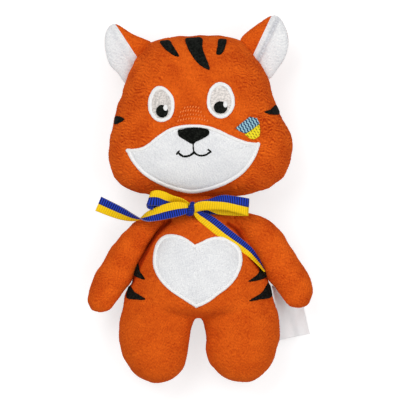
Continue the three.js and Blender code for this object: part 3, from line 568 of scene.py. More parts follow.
class Maker:
    """Builds the nodes of one material, or of the world."""

    def __init__(self, owner, output="ShaderNodeOutputMaterial"):
        owner.use_nodes = True
        self.owner, self.tree = owner, owner.node_tree
        self.tree.nodes.clear()
        self.output = self.tree.nodes.new(output)

    @classmethod
    def named(cls, name):
        """A maker for a new material."""
        return cls(bpy.data.materials.new(name))

    def node(self, kind, settings=None, values=None, output=0):
        """Adds a node, makes its settings, then sets or links the sockets that values names, and returns an output."""
        node = self.tree.nodes.new(kind)
        for name, value in (settings or {}).items():
            setattr(node, name, value)
        for key, value in (values or {}).items():
            if isinstance(value, Value):
                self.tree.links.new(value.socket, node.inputs[key])
            else:
                node.inputs[key].default_value = value
        return Value(self, node.outputs[output])

    def place(self):
        """Object coordinates."""
        return self.node("ShaderNodeTexCoord", output="Object")

    def attribute(self, name):
        """The numbers kept under a name, one for each point of the piece."""
        return self.node("ShaderNodeAttribute", {"attribute_name": name}, output="Fac")

    def noise(self, scale, detail=2.0, roughness=0.5, stretch=(1, 1, 1), turn=(0, 0, 0)):
        """Noise with so many features to the metre, stretched along the axes after a turn."""
        mapping = self.node("ShaderNodeMapping", None, {"Vector": self.place(), "Scale": stretch, "Rotation": turn})
        values = {"Vector": mapping, "Scale": scale, "Detail": detail, "Roughness": roughness}
        return self.node("ShaderNodeTexNoise", None, values)

    def mix(self, factor, first, second):
        """A colour between two, by the factor."""
        colours = {0: factor}
        for key, colour in ((6, first), (7, second)):
            colours[key] = colour if isinstance(colour, Value) else (*colour, 1)
        return self.node("ShaderNodeMix", {"data_type": "RGBA", "clamp_factor": True}, colours, output=2)

    def bump(self, height, distance, strength):
        """A normal tilted as if the surface stood up by height times distance, in metres."""
        return self.node("ShaderNodeBump", None, {"Height": height, "Distance": distance, "Strength": strength})

    def principled(self, **sockets):
        """A Principled shader with the sockets given, underscores standing for spaces."""
        named = {name.replace("_", " "): value for name, value in sockets.items()}
        return self.node("ShaderNodeBsdfPrincipled", None, named)

    def surface(self, shader):
        """Ends in the shader given."""
        self.tree.links.new(shader.socket, self.output.inputs["Surface"])
        return self.owner

    def finish(self, **sockets):
        """Ends in a Principled shader with the sockets given."""
        return self.surface(self.principled(**sockets))


def shaded(colour, share):
    """A share of a colour."""
    return tuple(c * share for c in colour)


def plush_material(name, light, dark, sheen, seed):
    """Short brushed plush: the pile's height shades it from root to tip, with fine fibres and softer patches. Raised
    pile is painted lighter and flattened pile darker, partly the pile's own mottled tone and partly painted light and
    shade on its rows and tufts.

    Below the roots, in a crease, it darkens on: painted shade in the crease.
    """
    maker = Maker.named(name)
    fibres = maker.noise(900, 3, 0.6, (1, 0.55, 1), (0, 0, 0.3 + seed))
    flecks = maker.noise(2400, 2, 0.6)
    streaks = maker.noise(260, 3, 0.55, (0.55, 1.5, 1), (0, 0, 0.25 + seed))
    # Painted light and shade from the pile's height, mixed with the pile's own mottled tone
    shade = (
        0.5
        + (maker.attribute("pile") - 0.5) * 1.15
        + (fibres - 0.5) * 0.7
        + (streaks - 0.5) * 0.3
        + (maker.attribute("brushed") - 0.5) * 0.28
    )
    colour = maker.mix(shade.clamped(), dark, light)
    # Painted shade in creases: where the shade falls below 0, the colour darkens on towards a fifth of the flat tone
    colour = maker.mix((0 - shade).clamped(), colour, shaded(dark, 0.2))
    normal = maker.bump(fibres * 0.6 + flecks * 0.4, 0.0006, 0.55)
    return maker.finish(
        Base_Color=colour,
        Roughness=0.95,
        Normal=normal,
        Specular_IOR_Level=0.08,
        Sheen_Weight=sheen,
        Sheen_Roughness=0.45,
        Sheen_Tint=(*light, 1),
    )


def thread_material(name, colour, shadow, second=None, worn=0.25, gloss=0.25, sheen=0.1):
    """Satin embroidery: each thread is lighter along its top, with fine twisted strands and a few worn clumps.

    The attribute thread is 1 on top of a thread and 0 between two, where the colour falls to shadow times itself.
    Where a second colour is given, the attribute colour picks between them. worn says how much the clumps change the
    shade.
    """
    maker = Maker.named(name)
    thread = maker.attribute("thread")
    strands = maker.noise(3200, 2, 0.6)
    clumps = maker.noise(750, 2, 0.6)
    tint, deep = colour, shaded(colour, shadow)
    if second:
        tint, deep = (
            maker.mix(maker.attribute("colour"), *pair) for pair in ((colour, second), (deep, shaded(second, shadow)))
        )
    shade = (0.2 - 0.3 * worn + thread * 0.68 + (strands - 0.5) * 0.5 + (clumps - 0.5) * (4 * worn)).clamped()
    return maker.finish(
        Base_Color=maker.mix(shade, deep, tint),
        Roughness=(0.66 - strands * 0.3).clamped(),
        Normal=maker.bump(strands, 0.0002, 0.4),
        Specular_IOR_Level=gloss,
        Sheen_Weight=sheen,
    )


def ribbon_material(colours):
    """Two-colour ribbed ribbon.

    across runs from -1 at its yellow edge to 1 at its blue one, and rib is 1 on top of a rib and 0 between two. Painted
    shade darkens the valleys between ribs, darker still along the line where the colours meet, and the blue edge has a
    pale selvedge.
    """
    line, edge = 0.07, 0.945  # where across the colours meet and the selvedge begins
    maker = Maker.named("grosgrain_ribbon")
    across, rib = maker.attribute("across"), maker.attribute("rib")
    weave = maker.noise(2600, 2, 0.6)
    side = ((across + (weave - 0.5) * 0.03) * 18 + 0.5).clamped()
    tips = maker.mix(side, colours.ribbon_yellow, colours.ribbon_blue)
    # Painted shade for the rib valleys: the yellow at about three quarters, the blue nearly black
    valleys = maker.mix(side, shaded(colours.ribbon_yellow, 0.78), shaded(colours.ribbon_blue, 0.06))
    meeting = (1 - (across - line) * (across - line) * 180).clamped()
    # Painted shade between the ribs; the ribbon is darker still along the line where the colours meet
    shade = (rib * 1.2 - 0.14 + (weave - 0.5) * 0.35 - meeting * 0.55).clamped()
    selvedge = ((across - edge) * 40).clamped() * 0.6
    return maker.finish(
        Base_Color=maker.mix(selvedge, maker.mix(shade, valleys, tips), tone(150, 142, 150)),
        Roughness=0.55,
        Normal=maker.bump(weave, 0.0002, 0.5),
        Specular_IOR_Level=0.15,
    )


def label_material(colour):
    """Bare white satin: fine weave lines across it, wide soft patches of painted shade as if from creases, and a soft
    gloss.
    """
    maker = Maker.named("label_satin")
    weave = maker.noise(1800, 2, 0.5, (1, 0.15, 1))
    # Painted shade: a slow noise darkens the satin in wide soft patches, standing for the shade of creases
    crease = maker.noise(90, 2, 0.5)
    return maker.finish(
        Base_Color=maker.mix((weave * 0.5 + crease * 0.5).clamped(), shaded(colour, 0.9), colour),
        Roughness=0.34 + weave * 0.12,
        Normal=maker.bump(weave, 0.0001, 0.35),
        Specular_IOR_Level=0.4,
        Sheen_Weight=0.1,
    )


materials = {}  # every finish under a short name


def make_materials():
    """Each finish, from the colours in the sidebar."""
    c = bpy.context.scene.tiger_colours
    pick = {name: tuple(getattr(c, name)) for name in TigerColours.__annotations__}
    materials["orange"] = plush_material("orange_plush", pick["orange_light"], pick["orange_dark"], 0.12, 0.0)
    materials["white"] = plush_material("white_plush", pick["white_light"], pick["white_dark"], 0.15, 0.4)
    # Name, colour, shadow, second colour, worn, gloss and sheen
    threads = (
        ("white", "white_thread", 0.74, None, 0.12, 0.25, 0.1),
        ("eye", "eye_thread", 0.45, None, 0.5, 0.2, 0.1),
        ("black", "black_thread", 0.12, None, 0.8, 0.02, 0.0),
        ("tan", "tan_thread", 0.7, None, 0.2, 0.2, 0.0),
        ("blue", "pale_blue_thread", 0.55, pick["deep_blue_thread"], 0.25, 0.15, 0.0),
        ("yellow", "yellow_thread", 0.72, pick["gap_thread"], 0.2, 0.15, 0.0),
    )
    for name, colour, *rest in threads:
        materials[f"{name}_thread"] = thread_material(f"{name}_satin_thread", pick[colour], *rest)
    materials["ribbon"] = ribbon_material(c)
    materials["label"] = label_material(pick["label"])


# ---------------------------------------------------------------- head and ears

HEAD_CENTRE = (0.7, 55.6)
HEAD_HALF = (61.4, 53.9)
HEAD_SEAM = 28.0
HEAD_FRONT, HEAD_BACK = 34.0, 28.4  # how far the head stands off its seam
HEAD_SPARE = (0.4, 1.0)  # what the seam's tuck takes from its half width and half height
SWELL_FRONT, SWELL_BACK = 1.5, 0.6  # what its stuffing's pressure adds
CHEEK_START, CHEEK_WIDTH = 14.0, 24.0  # over what distance from its middle the rows of its pile grow
FULLNESS = 2.5

# In shares of the head's half width and half height
HEAD_OUTLINE = [
    (0.995, -0.45), (0.985, -0.25), (0.94, -0.12), (0.84, 0.08), (0.77, 0.33), (0.71, 0.53),
    (0.58, 0.75), (0.45, 0.92), (0.30, 0.98), (0.07, 1.00), (-0.31, 0.98), (-0.45, 0.95),
    (-0.56, 0.91), (-0.69, 0.73), (-0.80, 0.51), (-0.85, 0.32), (-0.92, 0.08), (-0.98, -0.19),
    (-1.005, -0.46), (-0.98, -0.64), (-0.91, -0.80), (-0.74, -0.908), (-0.53, -0.962), (-0.28, -0.985),
    (-0.01, -0.99), (0.25, -0.985), (0.47, -0.957), (0.635, -0.91), (0.80, -0.825), (0.91, -0.70),
]
# In shares of EAR_LENGTH, from the ear's middle
LEFT_EAR = [
    (0.00, -0.70), (0.22, -0.45), (0.33, -0.28), (0.395, -0.065), (0.39, 0.15), (0.32, 0.35),
    (0.23, 0.49), (0.14, 0.525), (0.015, 0.49), (-0.29, 0.28), (-0.50, 0.08), (-0.50, -0.15), (-0.28, -0.48),
]
RIGHT_EAR = [
    (0.05, -0.68), (0.33, -0.20), (0.52, -0.02), (0.48, 0.11), (0.14, 0.26), (-0.13, 0.43), (-0.235, 0.445),
    (-0.33, 0.37), (-0.385, 0.20), (-0.375, -0.05), (-0.295, -0.32), (-0.14, -0.48),
]
EAR_LENGTH = 34.0
EAR_SPARE = 2.0  # what the rim's tuck takes from its length
EAR_HALF = 3.8  # half its depth
FOLD_AT, FOLD_WIDTH = 4.8, 1.3  # how far its fold lies from the slanting seam
# How deep each ear's fold dents its front, which also sets how dark the painted shade along the fold shows
FOLD_DEPTH = {"right_ear": 0.6, "left_ear": 1.5}
EAR_HINGE = (-2, 6)  # where its bend starts and ends, out from the line through its root

# Each ear: its outline, its middle, the ends of its slanting seam in the same shares, and those of its root in shares
# of the head
EARS = {
    "right_ear": (RIGHT_EAR, (-50, 102), ((-0.18, 0.44), (0.22, -0.17)), ((-0.56, 0.91), (-0.80, 0.51))),
    "left_ear": (LEFT_EAR, (45, 105), ((0.06, 0.49), (-0.27, -0.21)), ((0.45, 0.92), (0.71, 0.53))),
}


def on_head(shares):
    """Places given as shares of the head's half width and half height, in millimetres."""
    return np.asarray(shares, float) * HEAD_HALF + HEAD_CENTRE


def pillow(outline, centre, seam, front, back, sides=72, rings=34):
    """A closed cushion: seen from the front it fills the outline.

    Its rings go round at a leaning angle from the front's pole to the back's. A ring's height over the seam is the
    angle's cosine times front or back, and its share of the way out is the angle's sine to the power 2 / FULLNESS.
    """
    loop = closed_curve(outline, 4 * sides) - centre
    turn = np.arctan2(loop[:, 1], loop[:, 0])
    order = np.argsort(turn)
    angles = np.linspace(-math.pi, math.pi, sides, endpoint=False)
    reach = np.interp(angles, turn[order], np.linalg.norm(loop, axis=1)[order], period=2 * math.pi)
    lean = np.radians(np.linspace(4, 176, rings))[:, None]
    out = np.sin(lean) ** (2 / FULLNESS) * reach
    rise = np.where(lean < math.pi / 2, front, back) * np.cos(lean)
    height = np.maximum(seam + np.broadcast_to(rise, out.shape), 0)
    rings = np.stack([centre[0] + out * np.cos(angles), centre[1] + out * np.sin(angles), height], -1)
    return capped_rings(rings)


def panels(name):
    """The CAD's nodes of one stuffed form."""
    return [f"{name}_{kind}" for kind in ("front_panel", "back_panel", "stuffing")]


def make_head():
    """A stuffed pillow, tucked where its height is the seam's, with longer rows of pile towards the cheeks."""
    outline = np.asarray(HEAD_OUTLINE) * (HEAD_HALF[0] + HEAD_SPARE[0], HEAD_HALF[1] + HEAD_SPARE[1]) + HEAD_CENTRE
    shell = pillow(outline, HEAD_CENTRE, HEAD_SEAM, HEAD_FRONT - SWELL_FRONT, HEAD_BACK - SWELL_BACK)
    head = stuffed("head_plush", [shell], voxel=1.05)
    points = points_of(head.data)
    tuck_seam(head.data, points[:, 2] - HEAD_SEAM, waves(points * (1, 1, 0), (9, 17), 10, 11))
    reliefs["head"] = Relief(head)
    cheeks = soft_step((np.abs(points[:, 0] - HEAD_CENTRE[0]) - CHEEK_START) / CHEEK_WIDTH)
    brush_pile(head, 21, ripple=0.25 + 0.45 * cheeks, patchy=0.45)
    finish_piece(head, materials["orange"], "orange_plush", *panels("head"), body="head")


def make_ear(name):
    """A thin cushion in two cloths: the white front meets the orange back at its rim and along a slanting seam.

    A soft fold, a bell curve of the distance from a line beside that seam, runs over its front; it dents the front and
    is painted darker, as shade along the fold. What is white lies above the rim's height and beyond the slanting seam.
    """
    shares, centre, split, root = EARS[name]
    outline = np.asarray(shares) * (EAR_LENGTH + EAR_SPARE) + centre
    ear = stuffed(
        name + "_form", [pillow(outline, centre, HEAD_SEAM, EAR_HALF, EAR_HALF, 48, 20)],
        voxel=0.75, smooth=3, coarse=3.0, cap=0.9,
    )
    tip, foot = (np.asarray(place) * EAR_LENGTH + centre for place in split)
    edge = (tip - foot) / np.linalg.norm(tip - foot)
    outward = np.array([edge[1], -edge[0]]) * (1 if name == "left_ear" else -1)
    points = points_of(ear.data)
    above = points[:, 2] - HEAD_SEAM
    on_front = np.where(above > 1, (points[:, :2] - tip) @ outward, 9)
    tuck_seam(ear.data, on_front, waves(points, (6, 11), 8, 31), 0.5)

    points = points_of(ear.data)
    rise = points[:, 2] - HEAD_SEAM
    fold = bell((points[:, :2] - tip) @ outward - FOLD_AT, FOLD_WIDTH) * soft_step(rise / 1.5)
    fold *= FOLD_DEPTH[name]
    points[:, 2] -= np.minimum(fold, 0.5 * np.maximum(rise, 0))
    move_points(ear.data, points)
    # The fold also lowers the kept pile height, so the material paints shade along it
    brush_pile(ear, 33, crease=fold)

    ends = on_head(root)
    middle = ends.mean(0)
    away = np.array([-(ends[1] - ends[0])[1], (ends[1] - ends[0])[0]])
    away /= np.linalg.norm(away)
    away *= np.sign(away @ (np.asarray(centre) - middle))
    start, end = ((*(middle + away * step), HEAD_SEAM) for step in EAR_HINGE)
    beyond = (points_of(ear.data)[:, :2] - tip) @ outward
    white = np.minimum(beyond, above)
    shift = np.where((beyond < above)[:, None], -beyond[:, None] * (*outward, 0), -above[:, None] * (0, 0, 1))
    shift *= (np.abs(white) < ON_LINE)[:, None]
    for side, inside, material in (("front", white > 0, "white"), ("back", white <= 0, "orange")):
        piece = part_of(ear, f"{name}_{side}_plush", inside, shift)
        finish_piece(
            piece, materials[material], f"{material}_plush", f"{name}_{side}_panel", blend=("head", name, start, end)
        )
    bpy.data.objects.remove(ear)


# ---------------------------------------------------------------- body, arms and legs

BODY_SEAM = 26.0

# The torso from its neck down: each row's place along Y, its half width and its half depth
BODY_ROWS = [
    (8, 17, 7), (4, 20, 10), (-1.3, 22.6, 11.5), (-5, 24.2, 12.8), (-10.6, 26.4, 15.2), (-17, 29, 18.6),
    (-26, 34, 22.4), (-36.5, 40.4, 24.6), (-45.5, 44.8, 25.4), (-59, 48.4, 25.3), (-67, 49.4, 24.4),
    (-73, 48.8, 22.6), (-77.5, 45.4, 18.6), (-80, 38.5, 12), (-81, 29, 5),
]
LEG_SEAM = 24.5
ARM_SEAM = 27.5
HIP_Y = -84.2  # where the legs begin to droop
DROOP = math.radians(4.5)
CROTCH = (0, -80.5)
HIP_LEAN = (0.5, -0.86)  # the left leg's way out from the crotch
LEG_BEND = 36.0  # how far along it the cloth bends
SHOULDER, ELBOW = (27, -11), (43, -30)  # where the left arm's bend starts and ends

# Each limb from its root to its tip: a place on its outer edge and one on its inner edge, both in the photograph,
# and half its depth in millimetres
RIGHT_LEG = [
    ((130, 279), (191, 281), 15), ((122.6, 294), (197.5, 295), 20), ((118.8, 309), (197.5, 311.5), 20.8),
    ((116.2, 323), (193.5, 323), 20.4), ((115.2, 335), (189, 335), 20), ((116.8, 347), (187, 346.5), 19.6),
    ((121, 358.5), (184, 358), 18.8), ((127.4, 369), (180.6, 368.4), 16.8), ((135.8, 377.2), (173.8, 376.4), 13.4),
    ((145.6, 381.8), (166.4, 381.2), 8.6), ((153.6, 383.2), (159, 383.1), 3),
]
LEFT_LEG = [
    ((266, 279), (205, 281), 15), ((273.6, 294), (198.5, 295), 20), ((279.2, 309), (199.4, 310), 20.8),
    ((282, 322), (201.8, 323), 20.4), ((282, 335), (205.4, 335), 20), ((279.8, 347), (206.6, 346.5), 19.6),
    ((276, 359), (208.6, 358), 18.8), ((270.6, 369), (213.6, 367.6), 16.8), ((262.4, 377), (221.4, 375.6), 13.4),
    ((252.6, 381), (232, 380.4), 8.6), ((246, 381.8), (240, 381.6), 3),
]
RIGHT_ARM = [
    ((160, 203), (175, 215), 5), ((150, 210), (169, 220.4), 8.4), ((139.6, 218), (159.6, 229.4), 10.2),
    ((126.6, 228), (149.9, 242.7), 11.2), ((113.6, 243), (142, 257.6), 11.6), ((103, 259.6), (136.2, 270.4), 11.8),
    ((94.2, 274.6), (130.4, 282.4), 11.6), ((88.4, 287.4), (122, 293), 11), ((86.8, 298), (115.4, 302.6), 9.6),
    ((89.6, 307.2), (109, 310.2), 7), ((95.4, 312), (101.4, 312.8), 3),
]
LEFT_ARM = [
    ((237, 207), (224, 217), 5), ((247, 211.8), (228, 223), 8.4), ((260.6, 214.8), (237, 230), 10.2),
    ((273.6, 223), (243.6, 241), 11.2), ((284.4, 236), (251, 253.6), 11.6), ((294.6, 252), (258, 265), 11.8),
    ((303.8, 267), (266, 276.6), 11.6), ((310.6, 280), (275, 288.2), 11), ((313, 292.4), (282.4, 298), 9.6),
    ((309.6, 301.8), (289.4, 305.8), 7), ((303.4, 306.4), (297.4, 307.8), 3),
]


def tube(edge, far_edge, depths, seam, sides=48, rows=90, power=0.92, drop=None):
    """A closed form between two edges seen from the front, each section's depth given.

    A section is an oval whose cosine and sine are raised to power, which fills its corners a little. drop gives how
    far the middle of each section lies under the seam.
    """
    table = np.column_stack([edge, far_edge, depths])
    table = open_curve(table, np.linspace(0, 1, rows))
    middle, across = (table[:, :2] + table[:, 2:4]) / 2, (table[:, :2] - table[:, 2:4]) / 2
    turn = np.linspace(0, 2 * math.pi, sides, endpoint=False)
    c, s = (np.sign(f) * np.abs(f) ** power for f in (np.cos(turn), np.sin(turn)))
    flat = middle[:, None] + across[:, None] * c[None, :, None]
    height = seam + table[:, 4:] * s
    if drop:
        height -= drop(flat[..., 1])
    return capped_rings(np.concatenate([flat, np.maximum(height, 0)[..., None]], -1))


def beside_arm(points, rows, last, width):
    """1 along an arm's inner edge from its second row to the last one given, and beside it a bell curve."""
    edge = open_curve(seen([inner for _, inner, _ in rows[1:last]]), np.linspace(0, 1, 60))
    gaps = np.linalg.norm(points[:, None, :2] - edge[None], axis=2)
    return bell(gaps.min(1), width)


def limb(rows, seam, drop=None):
    """A tube between a limb's outer and inner edge."""
    outer, inner, depths = zip(*rows)
    return tube(seen(outer), seen(inner), np.asarray(depths, float), seam, drop=drop)


def leg_drop(y):
    """How far the leg's middle hangs at y: the droop's slope times the way past the hip."""
    return math.tan(DROOP) * np.maximum(HIP_Y - y, 0)


def make_body():
    """The torso and both legs: three tubes in one skin, parted on a slanting line at each hip.

    The seam steps down from the torso's height to the legs', and beside the arms the pile lies low and is painted dark,
    as shade in the crease between arm and torso.
    """
    along, wide, deep = np.asarray(BODY_ROWS, float).T
    trunk = tube(np.stack([-wide, along], 1), np.stack([wide, along], 1), deep, BODY_SEAM, sides=72)
    legs = [limb(table, LEG_SEAM, leg_drop) for table in (RIGHT_LEG, LEFT_LEG)]
    body = stuffed("body_form", [trunk, *legs], voxel=1.1, smooth=11, coarse=4.8, cap=2.2)
    points = points_of(body.data)
    step = (BODY_SEAM - LEG_SEAM) * soft_step((-70 - points[:, 1]) / 14)
    seam = BODY_SEAM - step - leg_drop(points[:, 1])
    tuck_seam(body.data, points[:, 2] - seam, waves(points * (1, 1, 0), (9, 16), 10, 41))
    reliefs["torso"] = Relief(body)
    # Painted shade: a dark line on the torso in the crease along each arm's inner edge
    beside = sum(beside_arm(points, arm, 7, 1.4) for arm in (RIGHT_ARM, LEFT_ARM))
    brush_pile(body, 43, crease=2.6 * beside * soft_step((points[:, 2] - BODY_SEAM) / 4))

    points = points_of(body.data)
    side = np.where(points[:, 0] < 0, -1, 1)
    hip = np.stack([HIP_LEAN[0] * side, 0 * side + HIP_LEAN[1], 0 * side], 1)
    below = ((points[:, :2] - CROTCH) * hip[:, :2]).sum(1)
    shift = -below[:, None] * hip * (np.abs(below) < ON_LINE)[:, None]
    right, left = (below > 0) & (side < 0), (below > 0) & (side > 0)
    parts = (("torso", below <= 0, None), ("right_leg", right, -1), ("left_leg", left, 1))
    for name, inside, side in parts:
        piece = part_of(body, name + "_plush", inside, shift)
        if side is None:
            finish_piece(piece, materials["orange"], "orange_plush", *panels("body"), body="torso")
        else:
            start = (*CROTCH, LEG_SEAM)
            end = (CROTCH[0] + side * HIP_LEAN[0] * LEG_BEND, CROTCH[1] + HIP_LEAN[1] * LEG_BEND, LEG_SEAM)
            bend = ("torso", name, start, end)
            finish_piece(piece, materials["orange"], "orange_plush", *panels(name), blend=bend)
    bpy.data.objects.remove(body)


def make_arms():
    """Each arm: a stuffed tube, tucked at its seam, whose pile lies low along its inner edge and is painted dark there,
    as shade in the crease against the torso.
    """
    for name, rows, side, seed in (("right_arm", RIGHT_ARM, -1, 51), ("left_arm", LEFT_ARM, 1, 57)):
        arm = stuffed(name + "_plush", [limb(rows, ARM_SEAM)], voxel=0.9, smooth=4, coarse=3.6, cap=1.5)
        points = points_of(arm.data)
        tuck_seam(arm.data, points[:, 2] - ARM_SEAM, waves(points * (1, 1, 0), (7, 13), 10, seed))
        # Painted shade along the arm's inner edge, where it meets the torso
        brush_pile(arm, seed + 1, patchy=0.4, crease=1.8 * beside_arm(points, rows, 6, 1.2))
        start, end = ((side * x, y, ARM_SEAM) for x, y in (SHOULDER, ELBOW))
        finish_piece(arm, materials["orange"], "orange_plush", *panels(name), blend=("torso", name, start, end))


# ---------------------------------------------------------------- embroidery and patches

THREAD_ROWS = 5  # rows of points over one thread
THREAD_COLUMNS = 25  # points along a thread that crosses a shape
CORD_SIDES = 16  # points round a cord of stitches
RIDGE = 0.09  # how far a thread stands up
CORD_UNEVEN, FILL_UNEVEN = 0.1, 0.13  # how far the threads' ends differ
UNDER_CORD, UNDER_FILL, UNDER_PATCH = 0.6, 0.45, 0.4  # how far stitches reach into the plush
BORDER_IN, BORDER_RISE, BORDER_LIFT = 1.1, 0.8, 0.35  # a border's middle line, its height and its lift off the plush
PATCH_IN = 1.9  # how far inside its outline a patch starts
ON_PLUSH = 0.4  # lift of a shape sewn onto the plush
ON_PATCH = 1.05  # lift of what is sewn onto the muzzle's patch
FILL_RISE = 0.5  # how far the middle of a filled shape bulges


def inset(loop, centre, depth):
    """A closed curve drawn towards its centre until it lies depth inside the first one, as measured across it."""
    normal = square_to(np.roll(loop, -1, 0) - np.roll(loop, 1, 0))
    spoke = loop - centre
    reach = np.linalg.norm(spoke, axis=1)
    slant = np.abs((spoke * normal).sum(1)) / reach
    return centre + spoke * (1 - depth / (reach * np.maximum(slant, 0.5)))[:, None]


def uneven_threads(count, seed):
    """Three random numbers from -1 to 1 for each thread, given to each of its rows of points."""
    thread = np.arange(count) // THREAD_ROWS
    return np.random.default_rng(seed).uniform(-1, 1, (thread[-1] + 1, 3))[thread]


def thread_ridges(count, lean):
    """1 on top of each thread and 0 between two: the size of a cosine over its rows, to the power 0.7."""
    return np.abs(np.cos(math.pi * np.arange(count)[:, None] / THREAD_ROWS + lean)) ** 0.7


def satin_cord(points, relief, half, height, lift, seed, closed=True):
    """Satin stitches side by side along a curve: points, faces and how far up a thread each point is.

    The section is an oval, half wide each way and height high. The threads lie across the curve, each with a
    slightly different length, and an open cord tapers at its ends.
    """
    pitch = bpy.context.scene.tiger_sizes.thread / MM
    if closed:
        rough = closed_curve(points, 400)
        length = np.linalg.norm(rough - np.roll(rough, 1, 0), axis=1).sum()
        count = max(int(length / pitch), 8) * THREAD_ROWS
        path = closed_curve(points, count)
        along = np.roll(path, -1, 0) - np.roll(path, 1, 0)
        taper = np.ones(count)
    else:
        length = even_places(points, 2)[1]
        count = max(int(length / pitch), 3) * THREAD_ROWS + 1
        path = open_curve(points, even_places(points, count)[0])
        along = np.gradient(path, axis=0)
        ends = np.minimum(np.arange(count), np.arange(count)[::-1]) * pitch / THREAD_ROWS
        taper = np.sqrt(np.clip(ends / (1.1 * half), 0.02, 1))
    normal = square_to(along)
    uneven = uneven_threads(count, seed)
    turn = np.linspace(0, 2 * math.pi, CORD_SIDES, endpoint=False)[None, :]
    ridge = thread_ridges(count, 0.7 * np.cos(turn))
    reach = (half + CORD_UNEVEN * np.where(np.cos(turn) > 0, uneven[:, :1], uneven[:, 1:2])) * taper[:, None]
    out = reach * np.cos(turn)
    above = height * taper[:, None] * np.sin(turn) + RIDGE * ridge
    rise = lift + np.where(np.sin(turn) > 0, above, UNDER_CORD * np.sin(turn))
    x = path[:, :1] + normal[:, :1] * out
    y = path[:, 1:] + normal[:, 1:] * out
    rings = relief.lifted(x, y, rise)
    shade = ridge * (0.86 + 0.14 * uneven[:, 2:]) + 0 * turn
    if closed:
        return rings.reshape(-1, 3), [grid_faces(count, CORD_SIDES, True, True)], shade.ravel()
    flat, faces = capped_rings(rings)
    return flat, faces, np.append(shade.ravel(), [0.5, 0.5])


def satin_fill(outline, along, relief, lift, height, seed, spread=1.0):
    """Threads laid side by side over the inside of a closed outline, in the direction along.

    Each thread runs from one side of the outline to the other. The top bulges by height, and rolls down over the
    outermost 0.8 mm as a quarter circle.
    """
    pitch = bpy.context.scene.tiger_sizes.thread / MM * spread
    loop = closed_curve(outline, 400)
    run = np.asarray(along, float) / np.linalg.norm(along)
    u, v = loop @ np.array([-run[1], run[0]]), loop @ run
    low, high = int(np.argmin(u)), int(np.argmax(u))
    count = max(int((u[high] - u[low]) / pitch), 2) * THREAD_ROWS + 1
    rows = np.linspace(u[low] + 0.03, u[high] - 0.03, count)
    sides = []
    for step in (1, -1):
        chain = (low + step * np.arange((step * (high - low)) % 400 + 1)) % 400
        sides.append(np.interp(rows, np.maximum.accumulate(u[chain]), v[chain]))
    near, far = np.minimum(*sides), np.maximum(*sides)
    uneven = uneven_threads(count, seed)
    near, far = near + FILL_UNEVEN * uneven[:, 0], far + FILL_UNEVEN * uneven[:, 1]
    t = np.sin(np.linspace(-math.pi / 2, math.pi / 2, THREAD_COLUMNS))[None, :]
    half = np.maximum((far - near) / 2, 0.05)[:, None]
    v = ((near + far) / 2)[:, None] + half * t
    u = np.broadcast_to(rows[:, None], v.shape)
    ends = np.minimum(rows - rows[0], rows[-1] - rows)[:, None]
    rim = np.clip(np.minimum(half * (1 - np.abs(t)), ends + 0.02) / 0.8, 0, 1)
    bulge = np.sqrt(rim * (2 - rim))
    ridge = thread_ridges(count, 0.5 * t)
    x, y = v * run[0] - u * run[1], v * run[1] + u * run[0]
    top = relief.lifted(x, y, lift + (height + RIDGE * ridge) * bulge)
    bottom = relief.lifted(x, y, lift - UNDER_FILL + 0 * bulge)
    points, faces = slab(top, bottom)
    shade = (ridge * (0.86 + 0.14 * uneven[:, 2:]) + 0 * t).ravel()
    return points, faces, np.concatenate([shade, shade])


def sew(name, parts, material, node, body, colour=None):
    """Makes one object of stitches from a list of parts, each with its points, faces and thread heights."""
    points, groups = joined(parts)
    obj = add_mesh(name, points, groups)
    add_attribute(obj, "thread", np.concatenate([part[2] for part in parts]))
    if colour:
        add_attribute(obj, "colour", colour(points))
    nodes = (node,) if node else ()
    slot = {"eye_thread": "white_thread", "tan_thread": "orange_plush"}.get(material, material)
    return finish_piece(obj, materials[material], slot, *nodes, body=body)


def applique(name, outline, centre, relief, node, body, seed):
    """A plush patch inside its border.

    It rises as the square root of the way in from its rim over the first 2.4 mm, and swells a little over 12 mm.
    """
    loop = inset(closed_curve(outline, 560), centre, PATCH_IN)
    share = np.sin(np.linspace(0.02, 1, 80) * math.pi / 2)[:, None, None]
    spots = centre + (loop - centre)[None] * share
    away = np.linalg.norm(loop - centre, axis=1)[None] * (1 - share[..., 0])
    lift = 0.12 + 0.75 * np.sqrt(np.clip(away / 2.4, 0, 1)) + 0.25 * soft_step(away / 12)
    top = relief.lifted(spots[..., 0], spots[..., 1], lift)
    under = relief.lifted(spots[::-4, :, 0], spots[::-4, :, 1], 0 * lift[::-4] - UNDER_PATCH)
    patch = add_mesh(name, *capped_rings(np.concatenate([top, under])))
    brush_pile(patch, seed, (1, 0.2, 0), ripple=0.15)
    finish_piece(patch, materials["white"], "white_plush", node, body=body)


def bordered_patch(name, outline, centre, body, seed):
    """A plush patch, and a cord of satin stitches along its edge."""
    relief = reliefs[body]
    applique(f"{name}_plush", outline, centre, relief, f"{name}_patch", body, seed)
    line = inset(closed_curve(outline, 120), centre, BORDER_IN)
    half = bpy.context.scene.tiger_sizes.border / 2 / MM
    border = satin_cord(line, relief, half, BORDER_RISE, BORDER_LIFT, seed + 1)
    sew(f"{name}_satin", [border], "white_thread", f"{name}_border", body)


# What follows is drawn in the photograph's pixels. A place that stands twice makes a corner
MUZZLE = [
    (193, 124.4), (180, 125.4), (168.4, 128.9), (157, 136.2), (146.6, 144.4), (137, 148.6), (126.6, 150), (126.6, 150),
    (128.6, 155), (132, 161), (137.8, 168.4), (146.8, 176.4), (161.2, 184.4), (176, 189.6), (191, 192.2),
    (207, 189.8), (223.8, 184.2), (237.6, 176.4), (246.6, 168.2), (252.6, 160), (256.8, 151.4), (259, 143.4),
    (259, 143.4), (248, 141.8), (234, 136.9), (216.6, 128.9), (205, 125.4),
]
MUZZLE_CENTRE = (-4.4, 27.5)  # in millimetres
HEART_CENTRE, HEART_HALF = (-1.4, -44.6), (29.7, 27.2)  # in millimetres
